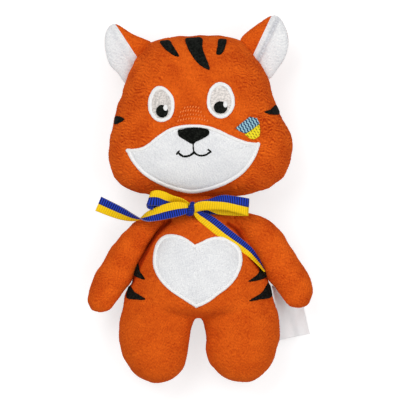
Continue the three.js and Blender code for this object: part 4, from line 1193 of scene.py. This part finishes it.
# In shares of its half width and half height
HEART = [
    (-0.07, 0.54), (-0.07, 0.54), (-0.21, 0.655), (-0.38, 0.75), (-0.55, 0.79), (-0.71, 0.775), (-0.84, 0.69),
    (-0.94, 0.53), (-0.99, 0.32), (-1.00, 0.05), (-0.935, -0.17), (-0.81, -0.385), (-0.62, -0.585), (-0.42, -0.735),
    (-0.22, -0.875), (-0.037, -0.995), (-0.037, -0.995), (0.13, -0.925), (0.29, -0.825), (0.45, -0.69),
    (0.65, -0.53), (0.81, -0.35), (0.91, -0.17), (0.98, 0.05), (0.99, 0.23), (0.94, 0.44), (0.80, 0.61),
    (0.60, 0.715), (0.39, 0.73), (0.23, 0.69), (0.08, 0.61),
]
NOSE = [
    (178, 129.8), (177.6, 132.2), (178.4, 135.6), (183.5, 139.2), (187.2, 141.4), (190.4, 143.2), (193, 143.2),
    (195.8, 141.4), (201.6, 138.7), (207, 135.5), (208.7, 132.9), (208.2, 130), (205.9, 128.7), (200.1, 127.6),
    (193.5, 127.3), (187.2, 127.9), (182.3, 128.9),
]
# Half of each stroke's width in millimetres, and its line
MOUTH = [
    (0.48, [(192.7, 142.4), (192.8, 146.4), (193.3, 151)]),
    (0.74, [(193.8, 150), (192.2, 153), (187.8, 155.2), (182.8, 155.6), (177.8, 152.2)]),
    (0.66, [(175.9, 154.2), (177.6, 151.8), (179.4, 149.9)]),
    (0.66, [(193, 150), (195.2, 153.2), (199.6, 154.9), (205.4, 154.2), (210.4, 150.6)]),
    (0.62, [(206.9, 148.8), (209.2, 150.2), (210.8, 152.2)]),
]
# Each eye's outline, then the middle and half size of its black and of its highlight in millimetres
EYES = {
    "right": (
        [
            (160.3, 86.2), (163.9, 87.1), (168.7, 90.9), (173, 97.1), (174.2, 104.8), (173.5, 111.5), (171.1, 117.2),
            (166.8, 120.6), (161.3, 122), (155.8, 120.6), (151.5, 116.3), (148.9, 111.5), (148, 104.8), (148.6, 98.6),
            (150.3, 93.8), (152.9, 89.5), (156.5, 86.7),
        ],
        ((-25.1, 59.1), (4.0, 4.2)),
        ((-22.7, 61.4), (1.45, 2.1)),
    ),
    "left": (
        [
            (220.6, 82.3), (225.3, 83.9), (229, 87), (231.8, 91.9), (233.5, 96.9), (234, 101.6), (233.5, 106.6),
            (231.1, 111.7), (227.4, 115.9), (223.6, 118), (219.8, 118.5), (215.6, 117.4), (211.4, 114.6),
            (208.6, 111.2), (206.9, 107), (206.3, 102.4), (206.7, 96.9), (208, 91.9), (210.5, 87.3), (213.9, 84.3),
            (217.3, 82.6),
        ],
        ((13.6, 61.6), (4.5, 4.15)),
        ((16.75, 63.65), (1.5, 2.1)),
    ),
}
CHEEK_UPPER = [
    (234.9, 128.1), (234.9, 128.1), (241.6, 122.2), (248.8, 116.8), (248.8, 116.8), (255.6, 118.4), (255.6, 118.4),
    (257.9, 124.1), (257.9, 124.1), (251.4, 129), (245, 133.4), (245, 133.4), (239, 131.2),
]
CHEEK_LOWER = [
    (243.8, 134.4), (243.8, 134.4), (251.2, 129.4), (257.9, 124.4), (257.9, 124.4), (259.1, 130), (258.5, 136),
    (258.5, 136), (253.9, 138.8), (249.4, 138.4),
]
# What each stripe is sewn to, the way its threads run, and its outline
STRIPES = {
    "forehead_stripe_right": (
        "head", (1, 0.15),
        [(159.6, 42), (165, 41), (169.6, 41.2), (172.3, 45.5), (178.5, 56.3), (172.3, 55), (164.3, 48.8)],
    ),
    "forehead_stripe_middle": (
        "head", (1, 0.15), [
            (185, 39.2), (193, 38.4), (201.6, 39), (202.4, 50), (209.2, 69.2), (199.8, 65.6), (192.4, 57), (187, 47.5),
        ],
    ),
    "forehead_stripe_left": (
        "head", (1, -0.1),
        [(217.8, 40.2), (222, 39.8), (226, 40.4), (224, 48.8), (220.5, 54.4), (215.8, 54.2), (217, 46.2)],
    ),
    "head_side_stripe_right": ("head", (0.1, 1), [(116.4, 115.8), (124.2, 118.8), (120.8, 121.9), (114.6, 123.8)]),
    "head_side_stripe_left": (
        "head", (0.1, 1), [(274.8, 105), (278.2, 113.8), (270.5, 114.3), (263.4, 112), (270, 109)]
    ),
    "body_stripe_right_upper": ("torso", (0.2, 1), [(137.3, 262.6), (132.6, 273.4), (144.6, 278.8), (139.4, 270.2)]),
    "body_stripe_right_lower": (
        "torso", (0.2, 1), [(129.6, 285.6), (126.6, 297), (136, 298.9), (145.2, 298.4), (134.4, 291.2)]
    ),
    "body_stripe_left_upper": ("torso", (-0.2, 1), [(260.4, 266.6), (265.2, 276.6), (247.6, 281), (256.8, 273.6)]),
    "body_stripe_left_lower": (
        "torso", (-0.2, 1), [(267.3, 282.6), (270.6, 296), (259, 298.8), (248.4, 300), (261.4, 291.4)]
    ),
}
# Rows of short stitches above the nose: each row's first and last place across, its middle down, and how far its
# ends hang below that
BRIDGE_ROWS = [
    (184.4, 198.1, 106.8, 1.0), (180.4, 200.4, 110.2, 1.9), (179.2, 203.8, 114.3, 2.2), (177.8, 206.8, 118.4, 2.4),
]
BRIDGE_STEP = 2.5  # from one stitch to the next
RIM_HALF = 1.25  # half the width of an eye's rim
EYE_IN = 2.45  # how far inside its outline the filling of an eye starts
EYE_LIGHT = {"right": 1.0, "left": 1.3}  # how light the filling of each eye shows
NOSE_LIGHT = 0.4  # how light the nose's threads show
CHEEK_ALONG, CHEEK_ACROSS = (0.87, 0.49), (0.49, -0.87)  # the way the cheek patch runs, and its threads


def make_nose_and_mouth(relief):
    """The nose as a filled shape and the mouth as cords of stitches, both on the muzzle's patch."""
    points, faces, heights = satin_fill(seen(NOSE), (0.12, 1), relief, ON_PATCH, 0.75, 63)
    sew("nose_satin", [(points, faces, NOSE_LIGHT * heights)], "black_thread", "nose", "head")
    mouth = [
        satin_cord(seen(stroke), relief, half, 0.4, ON_PATCH, 64 + i, closed=False)
        for i, (half, stroke) in enumerate(MOUTH)
    ]
    sew("mouth_satin", mouth, "black_thread", "mouth", "head")


def make_eye(side, relief, seed):
    """A cord of stitches round the eye's outline, its filling, and two ovals on it: the black and the highlight."""
    outline, pupil, highlight = EYES[side]
    turn = np.linspace(0, 2 * math.pi, 14, endpoint=False)
    disc = np.stack([np.cos(turn), np.sin(turn)], 1)
    egg = seen(outline)
    middle = egg.mean(0)
    rim = satin_cord(inset(closed_curve(egg, 60), middle, RIM_HALF), relief, RIM_HALF, 0.75, BORDER_LIFT, seed)
    sew(f"{side}_eye_rim", [rim], "white_thread", f"{side}_eye_white", "head")
    inner = inset(closed_curve(egg, 40), middle, EYE_IN)
    points, faces, heights = satin_fill(inner, (1, 0.35), relief, 0.3, 0.3, seed + 2, 0.9)
    sew(f"{side}_eye_filling", [(points, faces, heights * EYE_LIGHT[side])], "eye_thread", None, "head")
    ball = satin_fill(disc * pupil[1] + pupil[0], (0.1, 1), relief, 0.75, FILL_RISE, seed + 4)
    sew(f"{side}_eye_black", [ball], "black_thread", f"{side}_eye_pupil", "head")
    glint = satin_fill(disc * highlight[1] + highlight[0], (1, 0.2), relief, 1.3, 0.45, seed + 6)
    sew(f"{side}_eye_glint", [glint], "white_thread", f"{side}_eye_highlight", "head")


def cheek_places(points):
    """How far along and across the cheek patch each point lies."""
    (c, s), (x, y) = CHEEK_ALONG, points.T[:2]
    return x * c + y * s, y * c - x * s


def braid(points):
    """Wavy bands along the threads: a sine every 2 mm along the patch, pushed to and fro by one every 2.4 across."""
    u, v = cheek_places(points)
    return soft_step(0.5 + 1.3 * np.sin(2 * math.pi * u / 2.0 + 0.9 * np.sin(2 * math.pi * v / 2.4)))


def gaps(points):
    """Short dark dashes between groups of threads: a wavy cosine every 1.8 mm, broken by a slanting sine."""
    u, v = cheek_places(points)
    lines = np.cos(2 * math.pi * u / 1.8 + 0.5 * np.sin(2 * math.pi * v / 3.1))
    return soft_step(2.4 * lines + 0.9 * np.sin(2 * math.pi * (v + 0.8 * u) / 2.3) - 1.3)


def make_bridge(relief):
    """Short stitches in rows above the nose, each row sagging by the square of the way from its middle."""
    dashes = []
    for row, (left, right, middle_y, sag) in enumerate(BRIDGE_ROWS):
        for place in np.linspace(-1, 1, int((right - left) / BRIDGE_STEP) + 1):
            x, y = (left + right) / 2 + place * (right - left) / 2, middle_y + sag * place**2
            stroke = seen([(x - 0.5, y + 1.1), (x, y), (x + 0.5, y - 1.1)])
            dashes.append(satin_cord(stroke, relief, 0.36, 0.35, 0.25, 90 + row, closed=False))
    sew("bridge_stitches", dashes, "tan_thread", None, "head")


def make_face():
    """All that is sewn onto the head's front, apart from its stripes."""
    relief = reliefs["head"]
    bordered_patch("muzzle", seen(MUZZLE), np.array(MUZZLE_CENTRE), "head", 61)
    make_nose_and_mouth(relief)
    for i, side in enumerate(EYES):
        make_eye(side, relief, 70 + i)
    upper = satin_fill(seen(CHEEK_UPPER), CHEEK_ACROSS, relief, ON_PLUSH, FILL_RISE, 80)
    sew("cheek_upper_satin", [upper], "blue_thread", "cheek_patch_upper", "head", braid)
    lower = satin_fill(seen(CHEEK_LOWER), CHEEK_ACROSS, relief, ON_PLUSH, FILL_RISE, 81)
    sew("cheek_lower_satin", [lower], "yellow_thread", "cheek_patch_lower", "head", gaps)
    make_bridge(relief)


def make_stripes():
    """Each black stripe as a filled shape."""
    for i, (node, (body, along, outline)) in enumerate(STRIPES.items()):
        stripe = satin_fill(seen(outline), along, reliefs[body], ON_PLUSH, FILL_RISE, 100 + i)
        sew(node + "_satin", [stripe], "black_thread", node, body)


def make_heart():
    """The heart and its border, from shares of its half width and half height."""
    bordered_patch("heart", np.asarray(HEART) * HEART_HALF + HEART_CENTRE, np.asarray(HEART_CENTRE), "torso", 111)


# ---------------------------------------------------------------- ribbon and label

RIBBON_THICK = 0.7
RIB_ROWS = 6  # rows of points over one rib
RIB_RISE = 0.12  # how far a rib stands up on each face
RIBBON_COLUMNS = 15  # points across the ribbon


def band(rows, wrap=False):
    """Ribbon through rows of three places: on its yellow edge, its middle and its blue edge.

    Across it runs the parabola through the three. Ribs stand up on both faces, a cosine with one wave for each rib's
    spacing.
    """
    sizes = bpy.context.scene.tiger_sizes
    rows = np.asarray(rows, float).reshape(-1, 9)
    if wrap:
        rows = np.vstack([rows, rows[:1]])
    _, length = even_places(rows[:, 3:6], 2)
    count = int(length * MM / sizes.rib) * RIB_ROWS + 1
    guides = open_curve(rows, even_places(rows[:, 3:6], count)[0])
    yellow, middle, blue = (guides[:, None, i : i + 3] for i in (0, 3, 6))
    a = np.linspace(-1, 1, RIBBON_COLUMNS)[None, :, None]
    grid = middle + a * (blue - yellow) / 2 + a * a * ((blue + yellow) / 2 - middle)
    if wrap:
        grid = grid[:-1]
        along = np.roll(grid, -1, 0) - np.roll(grid, 1, 0)
    else:
        along = np.gradient(grid, axis=0)
    normal = unit(np.cross(along, np.gradient(grid, axis=1)))
    rib = 0.5 + 0.5 * np.cos(2 * math.pi * np.arange(len(grid)) / RIB_ROWS)[:, None, None]
    half = RIBBON_THICK / 2 - RIB_RISE + RIB_RISE * rib
    rings = np.concatenate([grid + normal * half, (grid - normal * half)[:, ::-1]], axis=1)
    across = np.broadcast_to(np.concatenate([a, a[:, ::-1]], 1)[..., 0], rings.shape[:2]).ravel()
    ribs = np.broadcast_to(rib[..., 0], rings.shape[:2]).ravel()
    if wrap:
        return rings.reshape(-1, 3), [grid_faces(*rings.shape[:2], True, True)], across, ribs
    points, faces = capped_rings(rings)
    return points, faces, np.append(across, [0, 0]), np.append(ribs, [0, 0])


def add_ribbon(name, shape, node, held, rests_on, flat, **moves):
    """Makes a piece of ribbon from its points, faces, places across and ribs; flat, its flat length in millimetres, is
    not used.
    """
    points, faces, across, ribs = shape
    obj = add_mesh(name, points, faces)
    add_attribute(obj, "across", across)
    add_attribute(obj, "rib", ribs)
    finish_piece(obj, materials["ribbon"], "ribbon", node, **moves)
    return obj


def strips(rows):
    """Rows of three photograph places with heights, in millimetres."""
    return [[over(*place) for place in row] for row in rows]


# Each loop from the knot out and back again, its front half first. A row holds the place on the yellow edge, in the
# middle and on the blue edge, in the photograph's pixels, each with its height in millimetres
LEFT_LOOP = [
    ((191.5, 211, 46.6), (191, 206.4, 48.2), (191.5, 205, 45.4)),
    ((194.8, 211.6, 47.4), (195.8, 202.6, 49.4), (196.4, 205, 45.6)),
    ((201.1, 210, 48.8), (203.0, 200.8, 50.8), (205, 202, 46.4)),
    ((211, 209.2, 50.4), (212, 200.9, 52.2), (212, 197.8, 48.6)),
    ((224, 209.4, 51.8), (224.6, 201.8, 53.2), (223.4, 194.6, 51.4)),
    ((237.2, 212.4, 52.2), (237.8, 204.6, 53.6), (237.6, 196.2, 52.2)),
    ((244.8, 214.8, 51.4), (245.4, 206.4, 52.6), (246.2, 197.6, 51.4)),
    ((247.2, 215.3, 49.2), (247.8, 206.8, 49.8), (248.2, 198.2, 49.2)),
    ((244.8, 215.4, 47.0), (245.2, 207.4, 47.0), (245.4, 199, 47.2)),
    ((231, 215, 45.6), (231, 207.4, 45.4), (231, 199.6, 45.8)),
    ((217.8, 213.8, 45.0), (216.6, 206.8, 45.0), (216, 200, 45.2)),
    ((206.4, 209.6, 45.0), (206, 205.4, 45.2), (206, 201.4, 45.0)),
    ((192.5, 208.6, 45.2), (192.5, 206.2, 45.4), (192.5, 203.6, 45.2)),
]
RIGHT_LOOP = [
    ((189.6, 203, 46.4), (189, 206, 45.8), (189.2, 208.6, 45.2)),
    ((182.6, 198.4, 48.4), (182, 203.4, 45.8), (181, 208, 44.2)),
    ((172.8, 195.2, 50.8), (172, 201.6, 47.6), (172, 207.4, 44.4)),
    ((166.1, 192.0, 52.6), (165.6, 199.8, 51.4), (165.8, 206.6, 46.2)),
    ((158.2, 189.8, 53.6), (157.4, 196.8, 53.6), (157.2, 205.4, 50.6)),
    ((153.0, 190.6, 53.4), (151.0, 196.6, 54.0), (148.6, 204.6, 52.4)),
    ((150.6, 192.0, 51.2), (148.8, 197.8, 51.4), (146.4, 204.8, 51.0)),
    ((151, 194.2, 49.2), (149.8, 200.6, 49.0), (148.2, 208.4, 48.4)),
    ((157.4, 196.4, 48.0), (157, 202.8, 46.8), (156.4, 209.6, 46.2)),
    ((168, 198.8, 46.6), (168, 204, 44.8), (167.4, 208.6, 44.2)),
    ((180, 202.2, 45.8), (180, 205.2, 44.7), (180, 208.4, 44.0)),
    ((188.6, 203.6, 45.4), (188.6, 206, 45.0), (188.6, 208.6, 45.0)),
]
# From its end to the knot: the middle of each row with its height, and the step from there to the blue edge, with
# pixels across and down and millimetres up. The step turns over where the tail has its half twist
RIGHT_TAIL = [
    ((98.0, 203.2, 37.6), (3.0, -7.1, 0.0)),
    ((109.4, 208.2, 38.2), (3.2, -6.3, 2.2)),
    ((120.8, 213.0, 39.6), (2.7, -5.4, 3.3)),
    ((131, 216.9, 41.4), (1.8, -3.4, 4.4)),
    ((138.4, 218.4, 42.8), (0.6, -1.2, 5.2)),
    ((142.2, 217.9, 44.0), (0.7, 1.6, 5.0)),
    ((148, 216.1, 46.2), (1.1, 4.8, 2.6)),
    ((157.4, 213.2, 48.4), (1.3, 6.6, -0.4)),
    ((168.4, 210.2, 49.8), (1.5, 7.4, -1.0)),
    ((178.5, 208.2, 50.2), (1.5, 7.0, -0.8)),
    ((187.5, 207.4, 48.6), (0.8, 4.8, 0.0)),
]
# From the knot to its end: the place on the yellow edge and on the blue edge, and how far the middle lies off the
# chest
LEFT_TAIL = [
    ((192.6, 212.4), (198.0, 209.4), 2.4), ((194.8, 216.4), (202.4, 211.4), 2.3), ((198.5, 220.5), (207, 213.2), 2.2),
    ((207.2, 227.8), (216.5, 218.7), 2.1), ((220.6, 238.3), (229.4, 228.9), 2.1), ((233.9, 246.7), (240.6, 237.8), 2.0),
    ((245, 253.9), (250.6, 246.7), 1.6), ((251.5, 259), (256.1, 254.4), 1.3), ((258, 265), (261, 262.5), 1.2),
    ((263.8, 271.2), (265, 270.2), 1.2),
]
LEFT_TAIL_ROOT = (46.4, 45.8)  # heights of its first rows, which leave the knot over the chest
RIGHT_TAIL_BEND = (-10, -5, 49), (-19, -6.4, 48)
LEFT_TAIL_BEND = (-4, -9, 46), (2, -15, 46)
NECK_ROWS = (-1.8, -5.6, -9.6)  # places along Y of the neck band's edges and middle
NECK_GAP = 1.5  # how far the neck band stays off the torso's section
KNOT = (190.6, 208.2, 47.2)
KNOT_HALF = (2.35, 4.7, 3.1)  # half its size across, up and out
KNOT_CREASE = 0.22


def right_tail_rows():
    """The right tail's rows: a step either way from each middle."""
    rows = []
    for centre, (dx, dy, dz) in RIGHT_TAIL:
        middle = np.array(over(*centre))
        half = np.array([dx * PIXEL, -dy * PIXEL, dz])
        rows.append([middle - half, middle, middle + half])
    return rows


def left_tail_rows(relief):
    """The left tail's rows: over the torso's own height, and tilted towards its end.

    There the photograph shows less than the ribbon's width, and the tilt is what is missing, by Pythagoras.
    """
    rows = []
    for i, (yellow, blue, lift) in enumerate(LEFT_TAIL):
        yellow, blue = seen(yellow), seen(blue)
        middle = (yellow + blue) / 2
        rest = [float(relief.at(*place)) for place in (yellow, middle, blue)]
        flat = np.linalg.norm(blue - yellow) / 2
        tilt = math.sqrt(max(RIBBON_HALF**2 - flat**2, 0)) * soft_step((i - 5) / 3)
        level = max(rest[1], (rest[0] + rest[2]) / 2) + lift + 0.5 * tilt
        if i < len(LEFT_TAIL_ROOT):
            level = LEFT_TAIL_ROOT[i]
        rows.append([(*yellow, level + tilt), (*middle, level + 0.3), (*blue, level - tilt)])
    return rows


def make_ribbon():
    """The bow's loops, both tails, the band round the neck and the knot, each a band through its rows."""
    add_ribbon("bow_left", band(strips(LEFT_LOOP)), "bow_loop_left", "folded", ["neck_ribbon"], 78, body="torso")
    add_ribbon("bow_right", band(strips(RIGHT_LOOP)), "bow_loop_right", "folded", ["neck_ribbon"], 62, body="torso")
    right, left = ("torso", "right_tail", *RIGHT_TAIL_BEND), ("torso", "left_tail", *LEFT_TAIL_BEND)
    add_ribbon("tail_right", band(right_tail_rows()), "ribbon_tail_right", "hung", ["bow_right"], 68, blend=right)
    shape = band(left_tail_rows(reliefs["torso"]))
    add_ribbon("tail_left", shape, "ribbon_tail_left", "hung", ["torso_plush"], 66, blend=left)
    add_ribbon("neck_band", neck_band(), "neck_ribbon", "stretched", ["torso_plush"], 140, body="torso")
    knot()


def neck_band():
    """Round the neck: a ring that keeps clear of the torso's oval section at each edge and in the middle."""
    turn = np.linspace(0, 2 * math.pi, 96, endpoint=False)
    table = np.asarray(BODY_ROWS, float)[::-1]
    rows = []
    for y in NECK_ROWS:
        wide, deep = (np.interp(y, table[:, 0], table[:, k]) + NECK_GAP for k in (1, 2))
        z = BODY_SEAM + deep * np.sin(turn)
        rows.append(np.stack([wide * np.cos(turn), y + 0 * turn, z], 1))
    return band(np.stack(rows, 1), wrap=True)


def knot():
    """The ribbon drawn tight over the roots of the loops: a barrel of ovals side by side, with a from -1 to 1 across.

    Its radius falls at both ends as the square root of 1 minus a to the fifth, and waves with the creases, a cosine
    over a. It is narrower at its top, and leans as it goes up. The creases also paint shade into their hollows and
    light onto their ridges.
    """
    turn = np.linspace(0, 2 * math.pi, 120, endpoint=False)[None, :]
    a = np.linspace(-1, 1, 33)[:, None]
    crease = KNOT_CREASE * np.cos(9 * a + 0.8 * np.sin(turn)) * (1 - a**2)
    rib = 0.5 + 0.5 * np.cos(26 * turn)
    round_ends = np.sqrt(np.clip(1 - np.abs(a) ** 5, 0.02, 1))
    radius = (1 + 0.05 * (crease / KNOT_CREASE) + 0.025 * rib) * round_ends
    up, out = KNOT_HALF[1] * radius * np.cos(turn), KNOT_HALF[2] * radius * np.sin(turn)
    middle = np.array(over(*KNOT))
    narrow = 1 - 0.22 * np.cos(turn)
    x = middle[0] + a * KNOT_HALF[0] * narrow + 0.24 * up
    rings = np.stack([x, middle[1] + up, middle[2] + out], -1)
    points, faces = capped_rings(rings)
    across = np.append((0.2 + 0.3 * (a + 1) + 0 * turn).ravel(), [0.2, 0.8])
    # Painted light and shade from the creases: ribs lighter on a crease's ridge and darker in its hollow, all at three
    # quarters of the loops' height
    ribs = np.append((rib * (0.75 + crease) + 0 * a).ravel(), [0, 0])
    obj = add_ribbon("knot", (points, faces, across, ribs), "bow_knot", None, None, None, body="torso")


# The label's fall from the seam to the floor, in shares of how far it reaches out and drops
LABEL_FALL = [(0, 0), (0.12, 0.32), (0.25, 0.58), (0.40, 0.78), (0.60, 0.94), (0.80, 0.99), (1, 1)]
LABEL_ROOT = (48.2, -57.5)  # its upper corner in the side seam
LABEL_ALONG, LABEL_OUT = (0.214, -0.977), (0.977, 0.214)  # down the seam, and away from it
LABEL_REACH, LABEL_DROP = 18.0, 25.1
FALL_SPREAD = (LABEL_REACH, 25.4)  # the size of fall over which its rows are spread evenly
LABEL_WIDE, LABEL_LONG = 37.0, 34.5  # along the seam, and from the seam to its free edge
LABEL_THICK = 0.3
LABEL_FREE = 10.0  # how far down the seam it runs before the body narrows towards the leg
LABEL_BEND = (*LABEL_ROOT, 26), (50.6, -57, 21)


def make_label():
    """A bare satin tab: it leaves the side seam and falls outwards to the floor.

    u runs down the seam and out is its share of the reach. Two sines of u make its waves, which grow with out. Near
    the seam it goes in and down with the body, which narrows towards the leg.
    """
    down, _ = even_places(np.asarray(LABEL_FALL) * FALL_SPREAD, 70)
    fall = open_curve(LABEL_FALL, down)
    out, drop = fall[None, :, 0], fall[None, :, 1] * LABEL_DROP
    u = np.linspace(0, LABEL_WIDE, 90)[:, None]
    reach = out * LABEL_REACH
    wave = 0.5 * np.sin(u / 5.4 + 0.6) * soft_step(out * 2) + 0.3 * np.sin(u / 2.9 + reach / 3)
    tuck = soft_step((u - LABEL_FREE) / (LABEL_WIDE - LABEL_FREE)) * (1 - soft_step(out / 0.45))
    away = (reach + 0.25 * wave - 4.2 * tuck)[..., None] * np.array(LABEL_OUT)
    flat = LABEL_ROOT + u[..., None] * LABEL_ALONG + away
    z = BODY_SEAM - drop + wave * soft_step(out * 3) - 7 * tuck
    z = np.maximum(z, 0.35 + 0.25 * soft_step(wave))
    top = np.concatenate([flat, z[..., None]], -1)
    slope = unit(np.cross(np.gradient(top, axis=0), np.gradient(top, axis=1)))
    slope *= np.sign(slope[..., 2:].mean())
    label = add_mesh("label_satin", *slab(top, top - LABEL_THICK * slope))
    finish_piece(label, materials["label"], "label_satin", "care_label", blend=("torso", "label", *LABEL_BEND))


# ---------------------------------------------------------------- stage

CAMERA_DISTANCE = 6.0  # metres from the toy's middle height, far enough to show it nearly without perspective
MIDDLE_HEIGHT = 0.026
# Each lamp's place and power, and its width, in metres and watts
LAMPS = (
    ("key_lamp", (-0.55, 0.6, 1.15), 9.0, 0.9),
    ("fill_lamp", (0.75, 0.1, 1.0), 5.4, 1.0),
    ("low_lamp", (0.0, -0.9, 0.8), 3.2, 1.0),
)
WHITE = (1, 1, 1, 1)
SURROUND_LIGHT = 0.34  # how strongly the surround lights the toy
FLOOR_HALF = 1500  # millimetres
FLOOR_GREYS = (0.5, 0.5, 0.5), (0.54, 0.54, 0.54)
FLOOR_GLOW = 0.62  # what the camera sees on top of the lit floor


def make_world():
    """A surround that is plain white to the camera and in shiny things, and lights the toy less strongly."""
    world = bpy.data.worlds.new("studio")
    bpy.context.scene.world = world
    maker = Maker(world, "ShaderNodeOutputWorld")
    camera, glossy, through = (
        maker.node("ShaderNodeLightPath", output=f"Is {kind} Ray") for kind in ("Camera", "Glossy", "Transmission")
    )
    lit = maker.node("ShaderNodeBackground", None, {"Color": WHITE, "Strength": SURROUND_LIGHT})
    shown = maker.node("ShaderNodeBackground", None, {"Color": WHITE})
    sees_white = camera.larger(glossy.larger(through))
    maker.surface(maker.node("ShaderNodeMixShader", None, {0: sees_white, 1: lit, 2: shown}))


def make_floor():
    """A flat pale sheet that keeps the toy's shadow and glows to the camera alone."""
    corners = np.array([(-1, -1, 0), (1, -1, 0), (1, 1, 0), (-1, 1, 0)], float) * FLOOR_HALF
    floor = add_mesh("floor", corners, [np.array([[0, 1, 2, 3]])], fix_normals=False)
    maker = Maker.named("pale_floor")
    plain = maker.principled(Base_Color=maker.mix(maker.noise(40, 3, 0.5), *FLOOR_GREYS), Roughness=0.9)
    glow = maker.node("ShaderNodeEmission", None, {"Strength": FLOOR_GLOW})
    bright = maker.node("ShaderNodeAddShader", None, {0: plain, 1: glow})
    camera = maker.node("ShaderNodeLightPath", output="Is Camera Ray")
    surface = maker.surface(maker.node("ShaderNodeMixShader", None, {0: camera, 1: plain, 2: bright}))
    floor.data.materials.append(surface)


def make_stage():
    """Camera straight above the toy, a broad lamp from each side, a pale floor and a white surround.

    The lens is the sensor's width times the distance, over the width that the photograph spans.
    """
    scene = bpy.context.scene
    camera = bpy.data.cameras.new("camera")
    camera.lens = camera.sensor_width * CAMERA_DISTANCE / (PHOTO_SIDE * PIXEL * MM)
    view = bpy.data.objects.new("camera", camera)
    view.location = (0, 0, CAMERA_DISTANCE + MIDDLE_HEIGHT)
    scene.collection.objects.link(view)
    scene.camera = view
    for name, place, power, size in LAMPS:
        lamp = bpy.data.lights.new(name, "AREA")
        lamp.energy, lamp.size = power, size
        holder = bpy.data.objects.new(name, lamp)
        holder.location = place
        holder.rotation_euler = (-Vector(place)).to_track_quat("-Z", "Y").to_euler()
        scene.collection.objects.link(holder)
    make_world()
    make_floor()
    scene.view_settings.view_transform = "Standard"


# ---------------------------------------------------------------- operators, panel and registering


class TIGER_OT_stage(bpy.types.Operator):
    """Set up the camera, the lamps, the surround and the floor"""

    bl_idname = "tiger.stage"
    bl_label = "Stage"

    def execute(self, context):
        make_stage()
        return {"FINISHED"}


class TIGER_OT_materials(bpy.types.Operator):
    """Make the plush, thread, ribbon and satin materials"""

    bl_idname = "tiger.materials"
    bl_label = "Finishes"

    def execute(self, context):
        make_materials()
        return {"FINISHED"}


class TIGER_OT_head(bpy.types.Operator):
    """Make the stuffed head"""

    bl_idname = "tiger.head"
    bl_label = "Head"

    def execute(self, context):
        make_head()
        return {"FINISHED"}


class TIGER_OT_ears(bpy.types.Operator):
    """Make both ears"""

    bl_idname = "tiger.ears"
    bl_label = "Ears"

    def execute(self, context):
        for name in EARS:
            make_ear(name)
        return {"FINISHED"}


class TIGER_OT_body(bpy.types.Operator):
    """Make the torso and both legs"""

    bl_idname = "tiger.body"
    bl_label = "Body and legs"

    def execute(self, context):
        make_body()
        return {"FINISHED"}


class TIGER_OT_arms(bpy.types.Operator):
    """Make both arms"""

    bl_idname = "tiger.arms"
    bl_label = "Arms"

    def execute(self, context):
        make_arms()
        return {"FINISHED"}


class TIGER_OT_face(bpy.types.Operator):
    """Make the muzzle, eyes, nose, mouth and cheek patch"""

    bl_idname = "tiger.face"
    bl_label = "Face"

    def execute(self, context):
        make_face()
        return {"FINISHED"}


class TIGER_OT_stripes(bpy.types.Operator):
    """Make the black stripes"""

    bl_idname = "tiger.stripes"
    bl_label = "Stripes"

    def execute(self, context):
        make_stripes()
        return {"FINISHED"}


class TIGER_OT_heart(bpy.types.Operator):
    """Make the heart and its border"""

    bl_idname = "tiger.heart"
    bl_label = "Heart"

    def execute(self, context):
        make_heart()
        return {"FINISHED"}


class TIGER_OT_ribbon(bpy.types.Operator):
    """Make the neck ribbon, the bow and its tails"""

    bl_idname = "tiger.ribbon"
    bl_label = "Ribbon"

    def execute(self, context):
        make_ribbon()
        return {"FINISHED"}


class TIGER_OT_label(bpy.types.Operator):
    """Make the bare care label"""

    bl_idname = "tiger.label"
    bl_label = "Label"

    def execute(self, context):
        make_label()
        return {"FINISHED"}


OPERATORS = (
    TIGER_OT_stage,
    TIGER_OT_materials,
    TIGER_OT_head,
    TIGER_OT_ears,
    TIGER_OT_body,
    TIGER_OT_arms,
    TIGER_OT_face,
    TIGER_OT_stripes,
    TIGER_OT_heart,
    TIGER_OT_ribbon,
    TIGER_OT_label,
)


class TIGER_PT_panel(bpy.types.Panel):
    """Buttons for every piece, and the sizes and colours"""

    bl_label = "Plush tiger"
    bl_idname = "TIGER_PT_panel"
    bl_space_type = "VIEW_3D"
    bl_region_type = "UI"
    bl_category = "Tiger"

    def draw(self, context):
        column = self.layout.column(align=True)
        for kind in OPERATORS:
            column.operator(kind.bl_idname)
        for group, names in ((context.scene.tiger_sizes, TigerSizes), (context.scene.tiger_colours, TigerColours)):
            for name in names.__annotations__:
                column.prop(group, name)


CLASSES = (TigerSizes, TigerColours, *OPERATORS, TIGER_PT_panel)


def register():
    """Registers the classes and gives the scene its sizes and colours."""
    for kind in CLASSES:
        bpy.utils.register_class(kind)
    bpy.types.Scene.tiger_sizes = PointerProperty(type=TigerSizes)
    bpy.types.Scene.tiger_colours = PointerProperty(type=TigerColours)


def unregister():
    """Undoes register."""
    del bpy.types.Scene.tiger_sizes
    del bpy.types.Scene.tiger_colours
    for kind in reversed(CLASSES):
        bpy.utils.unregister_class(kind)


def main():
    """Makes the stage and every piece in order."""
    register()
    bpy.ops.tiger.stage()
    bpy.ops.tiger.materials()
    bpy.ops.tiger.head()
    bpy.ops.tiger.ears()
    bpy.ops.tiger.body()
    bpy.ops.tiger.arms()
    bpy.ops.tiger.face()
    bpy.ops.tiger.stripes()
    bpy.ops.tiger.heart()
    bpy.ops.tiger.ribbon()
    bpy.ops.tiger.label()


if __name__ == "__main__":
    main()
